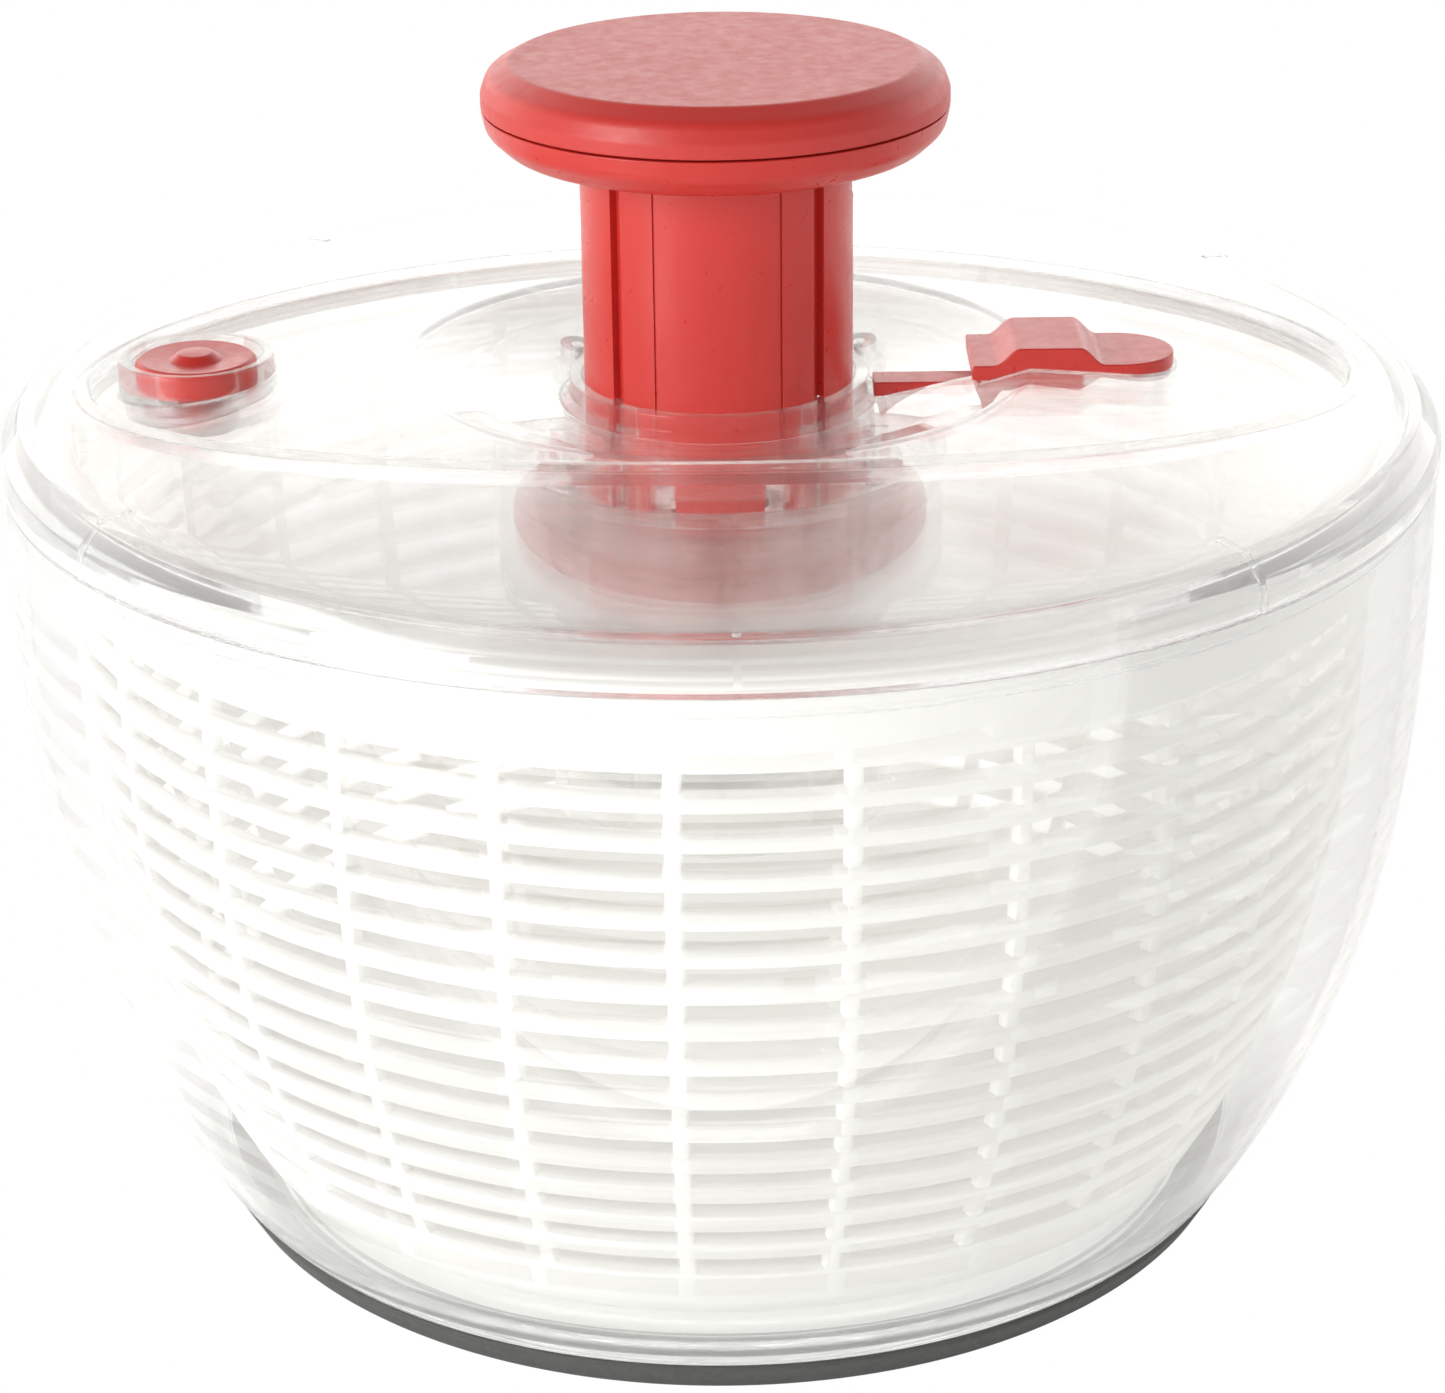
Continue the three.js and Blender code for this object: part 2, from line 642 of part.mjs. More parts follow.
const brakePad = () => turned([
  [0, 145.3], [7, 145.3], [7.5, 145.8], [7.5, 147.8], [2 + GAP, 147.8], [2 + GAP, 146.2], [0, 146.2],
], SMALL).translate(BRAKE_X, 0, 0);

const brakeSpring = () => coil({ radius: 7, wire: 0.45, turns: 4 }, BRAKE_WELL.floor + GAP, 158.6 - GAP, 8)
  .translate(BRAKE_X, 0, 0);

// ---------------------------------------------------------------- knob lock

function lockGuide() {
  const flange = box([46, 92], [-14, 14], [150, 152]);
  const walls = extruded(lockOutline(LOCK.left + 1.5, LOCK.right + 0.4, LOCK.half + 0.2), 151, LOCK.bottom - GAP);
  const room = extruded(lockOutline(LOCK.left + 3, LOCK.right - 1.1, LOCK.half - 1.3), 152, LOCK.bottom + 1);
  const latchWay = box([44, 52], [-LATCH.half - 0.6, LATCH.half + 0.6], [152, LATCH.top + 0.4]);
  return cut(join(flange, walls), room, latchWay);
}

function lockSlider() {
  const plate = extruded(lockOutline(LOCK.left, LOCK.right, LOCK.half), LOCK.bottom, LOCK.top);
  const side = new THREE.Shape([
    new THREE.Vector2(GRIP.base[0], LOCK.bottom + 1),
    new THREE.Vector2(GRIP.base[1], LOCK.bottom + 1),
    new THREE.Vector2(GRIP.base[1], LOCK.top),
    new THREE.Vector2(GRIP.top[1], GRIP.z),
    new THREE.Vector2(GRIP.top[0], GRIP.z),
    new THREE.Vector2(GRIP.base[0], LOCK.top),
  ]);
  const grip = extruded(side, -GRIP.half, GRIP.half).rotateX(Math.PI / 2);
  const peg = box([PEG.left, PEG.right], [-PEG.half, PEG.half], [LATCH.bottom + 0.2, LOCK.bottom + 1]);
  return join(plate, grip, peg);
}

function lockLatch() {
  const { left, right, half, bottom, top, blockHalf } = LATCH;
  const bar = box([left, right], [-half, half], [bottom, top]);
  const block = box([LATCH.block, right], [-blockHalf, blockHalf], [bottom, top]);
  const reach = PEG.half + GAP;
  const socket = box([PEG.left - GAP, PEG.right + GAP], [-reach, reach], [bottom - 1, top + 1]);
  return cut(join(bar, block), socket);
}

// ---------------------------------------------------------------- assembly

const group = new THREE.Group();
group.add(
  node('base_ring', RUBBER, baseRing()),
  node('bowl', CLEAR, bowl()),
  node('basket_wall', WHITE, basketWall()),
  node('basket_floor', WHITE, basketFloor()),
  node('lid_cover', CLEAR, lidCover()),
  node('guide_sleeve', CLEAR, guideSleeve()),
  node('guide_collar', CLEAR, guideCollar()),
  ...evenly(SCREWS.count, (angle, i) => node(`lid_screw_${i + 1}`, STEEL, lidScrew(angle))),
  node('turntable', CLEAR, turntable()),
  node('ratchet_ring', WHITE, ratchetRing()),
  node('pawl_wheel', WHITE, pawlWheel()),
  node('spindle', STEEL, spindle()),
  node('spindle_washer', STEEL, spindleWasher()),
  node('spindle_screw', STEEL, spindleScrew()),
  node('plunger_tube', RED, plungerTube()),
  node('knob_cap', RED, knobCap()),
  node('drive_post', WHITE, drivePost()),
  node('drive_nut', WHITE, driveNut()),
  node('return_spring', STEEL, returnSpring()),
  node('brake_guide', CLEAR, brakeGuide()),
  node('brake_button', RED, brakeButton()),
  node('brake_spring', STEEL, brakeSpring()),
  node('brake_pad', RUBBER, brakePad()),
  node('lock_guide', CLEAR, lockGuide()),
  node('lock_slider', RED, lockSlider()),
  node('lock_latch', RED, lockLatch()),
);

export default group;
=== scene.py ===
"""Pump-type salad spinner: the look of each piece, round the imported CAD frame.

Lengths of pieces are in millimetres until new_object() writes them in metres. Camera, lights and
materials are in metres.
+Z is up, +X points to the knob lock, -X to the brake button and -Y to the front.
"""
import math

import bmesh
import bpy
import numpy as np
from mathutils import Matrix, Vector


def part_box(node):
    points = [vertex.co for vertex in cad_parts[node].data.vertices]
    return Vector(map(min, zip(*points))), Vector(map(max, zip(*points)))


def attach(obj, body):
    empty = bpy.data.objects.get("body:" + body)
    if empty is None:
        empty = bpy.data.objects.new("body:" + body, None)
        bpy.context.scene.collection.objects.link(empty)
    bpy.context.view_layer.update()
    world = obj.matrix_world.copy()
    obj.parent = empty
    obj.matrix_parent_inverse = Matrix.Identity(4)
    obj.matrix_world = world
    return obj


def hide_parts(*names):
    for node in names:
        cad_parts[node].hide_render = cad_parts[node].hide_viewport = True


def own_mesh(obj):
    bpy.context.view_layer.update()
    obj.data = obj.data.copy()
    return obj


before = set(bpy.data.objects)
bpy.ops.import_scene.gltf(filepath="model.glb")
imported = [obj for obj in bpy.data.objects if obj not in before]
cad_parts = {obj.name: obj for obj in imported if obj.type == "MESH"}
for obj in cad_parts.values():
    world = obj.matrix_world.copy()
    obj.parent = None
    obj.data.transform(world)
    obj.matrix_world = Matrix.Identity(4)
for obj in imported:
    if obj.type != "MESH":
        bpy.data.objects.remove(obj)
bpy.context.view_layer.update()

MM = 0.001
TAU = 2 * math.pi

# ------------------------------------------------------------------ driving dimensions


def extent(node):
    """A CAD node's lowest and highest corner, in millimetres."""
    low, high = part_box(node)
    return low / MM, high / MM


GAP = 0.3
FACETS = 192
FINE = 256

FLARE_TOP = 140.0
FLARE_POWER = 2.9
BOWL_R = extent("bowl")[1].x
BOWL_FLARE = 34.3
BOWL_WALL = 3.0
BOWL_BOTTOM = 6.3
BOWL_FLOOR = 9.3
BOWL_TOP = extent("bowl")[1].z
PIVOT_TOP = 13.8
FOOT_RIB_IN = 92
FOOT_RIB_OUT = 95
FOOT_RIB_BOTTOM = 3.6

RING_IN = 92.6
RING_FLAT_IN = 93.6
RING_FLAT_OUT = 98
RING_R = 101.4
RING_SEAT_R = 95.3
RING_SEAT = 3.3
RING_TOP = 6

BASKET_R = 121.0
BASKET_FLARE = 34.0
BASKET_WALL = 2.6
BASKET_RIM_R = 123.2
BASKET_TOP = extent("basket_wall")[1].z
BAND_BOTTOM = 129.3
FOOT_TOP = 27.0
RIBS = 26
FIRST_RIB = math.radians(-93.9)
RIB_WIDTH = 2.9
SLATS = 14
SLAT_PITCH = 7.0
SLAT_TOP_CENTRE = 124.0
SLAT_HEIGHT = 3.7

LID_R = extent("lid_cover")[1].x
LID_LIP = 146.3
LID_WALL = 2.5
RIM_RIBS = (-54.0, 1.0, 41.5, 126.0, 181.0, 221.5)
DOME_TOP = 164.5
DOME_FALL = 0.00054
OVAL = (116.0, 65.6)
RECESS = 3.0
DISH = ((29.7, 152.5), (47.0, 156.5), (57.7, 159.7))
SKIRT_IN = 125.6
SKIRT_OUT = 127.8
SKIRT_BOTTOM = 141.5
LID_SHOULDER = 123

TUBE_IN = 22.3
TUBE_R = 24.8
TUBE_BOTTOM = 134.5
TUBE_LEG = 133.3
LEG_TOP = 142.5
TUBE_WEB = 199.5
SEAM_FROM_FRONT = 27
WIDE_GAP_AT = 24.75
WIDE_GAP = 11.5
THIN_GAP_AT = 44.75
THIN_GAP = 5.5
BELOW_TUBE = 120
KNOB_R = extent("knob_cap")[1].x
KNOB_TOP = extent("knob_cap")[1].z
KNOB_SEAM = 207.0
KNOB_UNDER = 198.4
KEY_FROM_FRONT = 47.0

BRAKE_X = (extent("brake_button")[0].x + extent("brake_button")[1].x) / 2
LOCK_LEFT = extent("lock_slider")[0].x
LOCK_RIGHT = extent("lock_slider")[1].x
LOCK_HALF = extent("lock_slider")[1].y
LOCK_BOTTOM = 157.2
LOCK_TOP = 159.3
GRIP_TOP = 163.2

LATCH_LOW = 151.9
LATCH_HIGH = 155.4
BOLT_BOTTOM = 152.3
BOLT_TOP = 155
BOLT_TIP = 28.6
BOLT_NECK = 57.8
BOLT_END = 67
BOLT_HALF = 3.4
BOLT_HEAD_HALF = 5
PEG_LEFT = 60
PEG_RIGHT = 63.5
PEG_HALF = 2
TRAY_BOTTOM = 150
TRAY_FLOOR = 152
TRAY_TOP = 156.9
TRAY_HALF = 14

WELL_BOTTOM = 149.6
WELL_FLOOR = 151.6
WELL_TOP = 161
WELL_IN = 12.4
WELL_R = 14.4
WELL_FLANGE_R = 17.5
WELL_HOLE = 4.6
BUTTON_R = 11.2
BUTTON_SKIRT = 9.6
BUTTON_STEM = 3.8
BUTTON_TOP = 161.5
BUTTON_SKIRT_BOTTOM = 155.5
BUTTON_PEG = 2
BUTTON_BOTTOM = 146.5
PAD_R = 7.5
PAD_BOTTOM = 145.3
PAD_TOP = 147.8

SLEEVE_IN = 26
SLEEVE_R = 28.4
SLEEVE_BOTTOM = 84
SLEEVE_FLOOR = 86.3
SLEEVE_FLANGE = 144.6
SLEEVE_TOP = 146.2
COLLAR_IN = 25.3
COLLAR_NECK = 27.7
COLLAR_R = 29.3
COLLAR_BOTTOM = 146.5
COLLAR_FLANGE = 148.3
COLLAR_TOP = 156.7
SPINDLE_HOLE = 3.7
WINDOW_HALF = 8.8
WINDOW_BOTTOM = 132
WINDOW_TOP = 139.6
FLANGE_R = 31.5

SCREWS = 4
SCREW_RING = 38.5
SCREW_HOLE = 1.9
FIRST_SCREW = 45.0
EAR_HALF = 5.5

CUP_IN = 30.2
CUP_R = 32.6
CUP_BOTTOM = 72.3
CUP_FLOOR = 74.6
DRUM_IN = 39.4
DRUM_R = 41.6
DRUM_BOTTOM = 115.5
DRUM_FLOOR = 117.7
PLATE_R = 117
PLATE_BOTTOM = 139.6
PLATE_TOP = 141.8
SHAFT_HOLE = 3.1
LUGS = 6

TRAVEL = 38.0

# ------------------------------------------------------------------ camera

CAMERA_BACK = 0.65356
CAMERA_UP = 0.36754
CAMERA_TILT = math.radians(22.925)
CAMERA_ROLL = math.radians(0.682)
CAMERA_LENS = 92.12
SENSOR_WIDTH = 36.0


def add_camera():
    data = bpy.data.cameras.new("camera")
    data.sensor_width = SENSOR_WIDTH
    data.lens = CAMERA_LENS
    data.clip_start = 0.01
    camera = bpy.data.objects.new("camera", data)
    bpy.context.scene.collection.objects.link(camera)
    forward = Vector((0, math.cos(CAMERA_TILT), -math.sin(CAMERA_TILT)))
    up = Vector((0, math.sin(CAMERA_TILT), math.cos(CAMERA_TILT)))
    side = Vector((1, 0, 0))
    right = side * math.cos(CAMERA_ROLL) - up * math.sin(CAMERA_ROLL)
    top = side * math.sin(CAMERA_ROLL) + up * math.cos(CAMERA_ROLL)
    turn = Matrix((right, top, -forward)).transposed().to_4x4()
    camera.matrix_world = Matrix.Translation((0, -CAMERA_BACK, CAMERA_UP)) @ turn
    bpy.context.scene.camera = camera


# ------------------------------------------------------------------ studio

BACK_GLOW = 2.2
FRONT_GLOW = 0.62
OVERHEAD_SHARE = 0.25
SEEN_THROUGH = 1.12
KEY_POWER = 28
ROOM_TINT = (1.0, 0.985, 0.955, 1)
FLOOR_GLOW = 0.35
FLOOR_HALF = 6.0
FLOOR_DROP = 0.0002
BACKDROP_FROM = -0.1
BACKDROP_TO = 0.6
OVERHEAD_FROM = 0.35
OVERHEAD_TO = 0.75
KEY_PLACE = (-1.5, -1.3, 0.75)
KEY_AIM = (0, 0, 0.12)
KEY_SIZE = (0.9, 1.2)
LIGHT_BOUNCES = 20
CLEAR_LAYERS = 32


def add_world():
    """White studio: a bright backdrop behind the object, a dimmer room in front of it."""
    world = bpy.data.worlds.new("studio")
    bpy.context.scene.world = world
    world.use_nodes = True
    nodes = world.node_tree.nodes
    links = world.node_tree.links
    nodes.clear()
    out = nodes.new("ShaderNodeOutputWorld")
    room = nodes.new("ShaderNodeBackground")
    plain = nodes.new("ShaderNodeBackground")
    mix = nodes.new("ShaderNodeMixShader")
    path = nodes.new("ShaderNodeLightPath")
    coords = nodes.new("ShaderNodeTexCoord")
    split = nodes.new("ShaderNodeSeparateXYZ")
    across = nodes.new("ShaderNodeMapRange")
    across.interpolation_type = "SMOOTHSTEP"
    across.inputs["From Min"].default_value = BACKDROP_FROM
    across.inputs["From Max"].default_value = BACKDROP_TO
    across.inputs["To Min"].default_value = FRONT_GLOW
    across.inputs["To Max"].default_value = BACK_GLOW
    upwards = nodes.new("ShaderNodeMapRange")
    upwards.interpolation_type = "SMOOTHSTEP"
    upwards.inputs["From Min"].default_value = OVERHEAD_FROM
    upwards.inputs["From Max"].default_value = OVERHEAD_TO
    upwards.inputs["To Min"].default_value = 1.0
    upwards.inputs["To Max"].default_value = OVERHEAD_SHARE
    both = nodes.new("ShaderNodeMath")
    both.operation = "MULTIPLY"
    seen = nodes.new("ShaderNodeMath")
    seen.operation = "MAXIMUM"
    links.new(coords.outputs["Generated"], split.inputs[0])
    links.new(split.outputs["Y"], across.inputs["Value"])
    links.new(split.outputs["Z"], upwards.inputs["Value"])
    links.new(across.outputs["Result"], both.inputs[0])
    links.new(upwards.outputs["Result"], both.inputs[1])
    links.new(both.outputs[0], room.inputs["Strength"])
    plain.inputs["Strength"].default_value = SEEN_THROUGH
    room.inputs["Color"].default_value = ROOM_TINT
    plain.inputs["Color"].default_value = (1, 1, 1, 1)
    links.new(path.outputs["Is Camera Ray"], seen.inputs[0])
    links.new(path.outputs["Is Transmission Ray"], seen.inputs[1])
    links.new(seen.outputs[0], mix.inputs[0])
    links.new(room.outputs[0], mix.inputs[1])
    links.new(plain.outputs[0], mix.inputs[2])
    links.new(mix.outputs[0], out.inputs["Surface"])


def add_softbox(name, place, aim, size, power):
    data = bpy.data.lights.new(name, "AREA")
    data.shape = "RECTANGLE"
    data.size, data.size_y = size
    data.energy = power
    lamp = bpy.data.objects.new(name, data)
    bpy.context.scene.collection.objects.link(lamp)
    direction = Vector(aim) - Vector(place)
    turn = direction.to_track_quat("-Z", "Y").to_matrix().to_4x4()
    lamp.matrix_world = Matrix.Translation(place) @ turn
    lamp.visible_camera = False


def add_floor():
    mesh = bpy.data.meshes.new("floor")
    half = FLOOR_HALF
    corners = [(-half, -half, 0), (half, -half, 0), (half, half, 0), (-half, half, 0)]
    mesh.from_pydata(corners, [], [(0, 1, 2, 3)])
    floor = bpy.data.objects.new("floor", mesh)
    bpy.context.scene.collection.objects.link(floor)
    floor.location.z = -FLOOR_DROP
    finish = bpy.data.materials.new("pale_floor")
    finish.use_nodes = True
    shader = finish.node_tree.nodes["Principled BSDF"]
    shader.inputs["Base Color"].default_value = (0.93, 0.93, 0.925, 1)
    shader.inputs["Roughness"].default_value = 0.7
    shader.inputs["Emission Color"].default_value = (1, 1, 1, 1)
    shader.inputs["Emission Strength"].default_value = FLOOR_GLOW
    nodes = finish.node_tree.nodes
    links = finish.node_tree.links
    path = nodes.new("ShaderNodeLightPath")
    plain = nodes.new("ShaderNodeEmission")
    mix = nodes.new("ShaderNodeMixShader")
    links.new(path.outputs["Is Camera Ray"], mix.inputs[0])
    links.new(shader.outputs[0], mix.inputs[1])
    links.new(plain.outputs[0], mix.inputs[2])
    links.new(mix.outputs[0], nodes["Material Output"].inputs["Surface"])
    mesh.materials.append(finish)


# ------------------------------------------------------------------ materials


class Finish:
    """A node material built round one Principled shader."""

    def __init__(self, name):
        self.material = bpy.data.materials.new(name)
        self.material.use_nodes = True
        self.nodes = self.material.node_tree.nodes
        self.links = self.material.node_tree.links
        self.shader = self.nodes["Principled BSDF"]
        self.coords = self.nodes.new("ShaderNodeTexCoord").outputs["Object"]

    def noise(self, scale, detail=3.0, stretch=None):
        """Noise with so many cells to the metre. stretch scales X, Y and Z."""
        texture = self.nodes.new("ShaderNodeTexNoise")
        texture.inputs["Scale"].default_value = scale
        texture.inputs["Detail"].default_value = detail
        source = self.coords
        if stretch:
            mapping = self.nodes.new("ShaderNodeMapping")
            mapping.inputs["Scale"].default_value = stretch
            self.links.new(source, mapping.inputs["Vector"])
            source = mapping.outputs["Vector"]
        self.links.new(source, texture.inputs["Vector"])
        return texture.outputs["Fac"]

    def colour(self, first, second, factor):
        ramp = self.nodes.new("ShaderNodeMix")
        ramp.data_type = "RGBA"
        ramp.inputs["A"].default_value = (*first, 1)
        ramp.inputs["B"].default_value = (*second, 1)
        self.links.new(factor, ramp.inputs["Factor"])
        self.links.new(ramp.outputs["Result"], self.shader.inputs["Base Color"])

    def roughness(self, low, high, factor):
        spread = self.nodes.new("ShaderNodeMapRange")
        spread.inputs["From Min"].default_value = 0.3
        spread.inputs["From Max"].default_value = 0.7
        spread.inputs["To Min"].default_value = low
        spread.inputs["To Max"].default_value = high
        self.links.new(factor, spread.inputs["Value"])
        self.links.new(spread.outputs["Result"], self.shader.inputs["Roughness"])

    def bump(self, *layers):
        """layers are (height source, depth in metres)."""
        normal = None
        for height, depth in layers:
            bump = self.nodes.new("ShaderNodeBump")
            bump.inputs["Strength"].default_value = 1.0
            bump.inputs["Distance"].default_value = depth
            self.links.new(height, bump.inputs["Height"])
            if normal:
                self.links.new(normal, bump.inputs["Normal"])
            normal = bump.outputs["Normal"]
        self.links.new(normal, self.shader.inputs["Normal"])

    def lets_lamps_through(self, tint):
        """Rays that only carry light pass straight through, so what is inside stays lit."""
        out = self.nodes["Material Output"]
        path = self.nodes.new("ShaderNodeLightPath")
        straight = self.nodes.new("ShaderNodeBsdfTransparent")
        straight.inputs["Color"].default_value = (*tint, 1)
        surface = self.shader.outputs[0]
        for ray in ("Is Diffuse Ray", "Is Shadow Ray"):
            mix = self.nodes.new("ShaderNodeMixShader")
            self.links.new(path.outputs[ray], mix.inputs[0])
            self.links.new(surface, mix.inputs[1])
            self.links.new(straight.outputs[0], mix.inputs[2])
            surface = mix.outputs[0]
        self.links.new(surface, out.inputs["Surface"])


CLEAR_BODY = 0.75
GUIDE_BODY = 0.5
PLASTIC_IOR = 1.5
THROUGH_TINT = (0.985, 0.986, 0.983)
# Painted glow for the white basket: emission strength that stands in for light coming through its thin
# walls.
THIN_WALL_PAINTED_GLOW = 0.12


def clear_plastic(name, tint, low, high, wave, body=CLEAR_BODY):
    """body is the share of light that meets the plastic; the rest is seen straight through it."""
    finish = Finish(name)
    shader = finish.shader
    shader.inputs["Base Color"].default_value = (*tint, 1)
    shader.inputs["Transmission Weight"].default_value = 1.0
    shader.inputs["IOR"].default_value = PLASTIC_IOR
    shader.inputs["Alpha"].default_value = body
    finish.roughness(low, high, finish.noise(180, 4))
    finish.bump((finish.noise(38, 2), wave))
    finish.lets_lamps_through(THROUGH_TINT)
    return finish.material


def moulded_plastic(name, first, second, low, high, grain, wave=0.00004, painted_glow=0.0):
    """The last argument is a painted glow: emission in the paler colour that stands in for the light a thin
    pale wall lets through from its other side.
    """
    finish = Finish(name)
    # Painted glow: the plastic emits light in its paler colour, though it is no lamp.
    finish.shader.inputs["Emission Color"].default_value = (*second, 1)
    finish.shader.inputs["Emission Strength"].default_value = painted_glow
    finish.colour(first, second, finish.noise(60, 5))
    finish.roughness(low, high, finish.noise(420, 4))
    finish.bump((finish.noise(2600, 2), grain), (finish.noise(45, 2), wave))
    return finish.material


def rubber(name):
    finish = Finish(name)
    finish.colour((0.062, 0.062, 0.06), (0.085, 0.085, 0.082), finish.noise(300, 6))
    finish.roughness(0.62, 0.82, finish.noise(900, 4))
    finish.bump((finish.noise(1900, 3), 0.00006))
    return finish.material


def metal(name, colour, low, high, stretch):
    finish = Finish(name)
    finish.shader.inputs["Metallic"].default_value = 1.0
    dark = tuple(0.82 * c for c in colour)
    scratches = finish.noise(500, 5, stretch)
    finish.colour(dark, colour, finish.noise(90, 4))
    finish.roughness(low, high, scratches)
    finish.bump((scratches, 0.00001))
    return finish.material


CLEAR_BOWL = clear_plastic("clear_bowl", (0.985, 0.987, 0.984), 0.0, 0.012, 0.00003)
CLEAR_LID = clear_plastic("clear_lid", (0.994, 0.995, 0.992), 0.0, 0.012, 0.00003)
CLEAR_GUIDE = clear_plastic("clear_guide", (0.992, 0.99, 0.986), 0.0, 0.01, 0.00003, GUIDE_BODY)
# White plastic of the basket and the rest, with a painted glow in its paler colour.
WHITE = moulded_plastic(
    "white_plastic", (0.86, 0.855, 0.83), (0.88, 0.877, 0.855), 0.36, 0.5, 0.00001,
    painted_glow=THIN_WALL_PAINTED_GLOW,
)
GEAR = moulded_plastic("white_gear", (0.8, 0.79, 0.75), (0.84, 0.83, 0.8), 0.3, 0.42, 0.00001)
RED = moulded_plastic("red_plastic", (0.56, 0.028, 0.022), (0.6, 0.034, 0.027), 0.27, 0.38, 0.000012)
RED_KNOB = moulded_plastic("red_knob", (0.55, 0.03, 0.024), (0.585, 0.036, 0.029), 0.36, 0.46, 0.00002)
RUBBER = rubber("grey_rubber")
STEEL = metal("steel", (0.6, 0.6, 0.6), 0.22, 0.4, (1, 1, 0.05))
SPRING_STEEL = metal("spring_steel", (0.3, 0.3, 0.31), 0.25, 0.4, (0.2, 0.2, 1))

# ------------------------------------------------------------------ mesh tools


def rounded(corners, steps=4):
    """Turns (radius, z, fillet) corners into a (radius, z) outline with arcs at the corners."""
    outline = []
    count = len(corners)
    for i, (r, z, fillet) in enumerate(corners):
        here = Vector((r, z))
        if fillet <= 0 or i in (0, count - 1) and corners[0][0] == 0:
            outline.append((r, z))
            continue
        before = Vector(corners[i - 1][:2]) - here
        after = Vector(corners[(i + 1) % count][:2]) - here
        angle = before.angle(after)
        reach = min(fillet / math.tan(angle / 2), 0.49 * before.length, 0.49 * after.length)
        start = here + before.normalized() * reach
        end = here + after.normalized() * reach
        for k in range(steps + 1):
            t = k / steps
            point = start.lerp(here, t).lerp(here.lerp(end, t), t)
            outline.append((point.x, point.y))
    return outline


def revolve(outline, facets=FACETS, centre=(0, 0)):
    """An outline turned round an upright axis, as (verts, faces), closed on the axis or on itself."""
    verts = []
    rings = []
    for r, z in outline:
        if r == 0:
            rings.append([len(verts)])
            verts.append((centre[0], centre[1], z))
            continue
        rings.append(list(range(len(verts), len(verts) + facets)))
        for k in range(facets):
            angle = TAU * k / facets
            verts.append((centre[0] + r * math.cos(angle), centre[1] + r * math.sin(angle), z))
    on_axis = outline[0][0] == 0 and outline[-1][0] == 0
    pairs = list(zip(rings, rings[1:])) + ([] if on_axis else [(rings[-1], rings[0])])
    faces = []
    for low, high in pairs:
        for k in range(facets):
            n = (k + 1) % facets
            if len(low) == 1 and len(high) == 1:
                break
            if len(low) == 1:
                faces.append((low[0], high[n], high[k]))
            elif len(high) == 1:
                faces.append((low[k], low[n], high[0]))
            else:
                faces.append((low[k], low[n], high[n], high[k]))
    return verts, faces


def loft(sections, closed=False):
    """Joins equal rings of points into one skin, with flat ends unless it closes on itself."""
    verts = [point for section in sections for point in section]
    size = len(sections[0])
    count = len(sections)
    faces = []
    for s in range(count if closed else count - 1):
        low, high = s * size, ((s + 1) % count) * size
        for k in range(size):
            n = (k + 1) % size
            faces.append((low + k, low + n, high + n, high + k))
    if not closed:
        faces.append(tuple(reversed(range(size))))
        faces.append(tuple(range((count - 1) * size, count * size)))
    return verts, faces


def merged(*parts):
    """Several (verts, faces) as one."""
    verts, faces = [], []
    for part_verts, part_faces in parts:
        first = len(verts)
        verts.extend(part_verts)
        faces.extend(tuple(first + i for i in face) for face in part_faces)
    return verts, faces


def turned(part, degrees):
    """A (verts, faces) part turned round Z."""
    turn = Matrix.Rotation(math.radians(degrees), 3, "Z")
    return [tuple(turn @ Vector(v)) for v in part[0]], part[1]


def block(x, y, z):
    corners = [(a, b, c) for c in z for a, b in ((x[0], y[0]), (x[1], y[0]), (x[1], y[1]), (x[0], y[1]))]
    return loft([corners[:4], corners[4:]])


def prism(outline, bottom, top):
    """An (x, y) outline, anticlockwise, between two heights."""
    return loft([[(x, y, z) for x, y in outline] for z in (bottom, top)])


def new_object(name, part):
    mesh = bpy.data.meshes.new(name)
    mesh.from_pydata([tuple(c * MM for c in v) for v in part[0]], [], part[1])
    shape = bmesh.new()
    shape.from_mesh(mesh)
    bmesh.ops.recalc_face_normals(shape, faces=shape.faces)
    shape.to_mesh(mesh)
    shape.free()
    thing = bpy.data.objects.new(name, mesh)
    bpy.context.scene.collection.objects.link(thing)
    return thing


def freeze(thing):
    """Applies every modifier."""
    bpy.context.view_layer.update()
    graph = bpy.context.evaluated_depsgraph_get()
    shaped = bpy.data.meshes.new_from_object(thing.evaluated_get(graph))
    thing.modifiers.clear()
    thing.data = shaped


def cut(thing, *parts, operation="DIFFERENCE"):
    """Cuts closed (verts, faces) parts out of an object, or joins them to it."""
    for part in parts:
        tool = new_object("tool", part)
        modifier = thing.modifiers.new("cut", "BOOLEAN")
        modifier.operation = operation
        modifier.solver = "MANIFOLD"
        modifier.object = tool
        freeze(thing)
        bpy.data.objects.remove(tool)


def soften(thing, width, segments=2, angle=40):
    """Rounds the sharp edges. width is in millimetres."""
    bevel = thing.modifiers.new("soften", "BEVEL")
    bevel.width = width * MM
    bevel.segments = segments
    bevel.limit_method = "ANGLE"
    bevel.angle_limit = math.radians(angle)
    bevel.harden_normals = False
    freeze(thing)


def finish_piece(thing, finish, body, nodes=(), sharp=40):
    thing.data.materials.clear()
    thing.data.materials.append(finish)
    thing.data.shade_smooth()
    thing.data.set_sharp_from_angle(angle=math.radians(sharp))
    even = thing.modifiers.new("even", "WEIGHTED_NORMAL")
    even.keep_sharp = True
    even.weight = 100
    freeze(thing)
    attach(thing, body)
    if nodes:
        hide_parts(*nodes)


def angles_round(count, first=0.0):
    return [first + 360.0 * i / count for i in range(count)]


def front_and_back(offset):
    """Angles so far to either side of the front and of the back."""
    return [side + hand * offset for side in (-90, 90) for hand in (-1, 1)]


KEY_ANGLES = front_and_back(KEY_FROM_FRONT)


def flare(radius, drop, z):
    return radius - drop * max(0.0, 1 - z / FLARE_TOP) ** FLARE_POWER


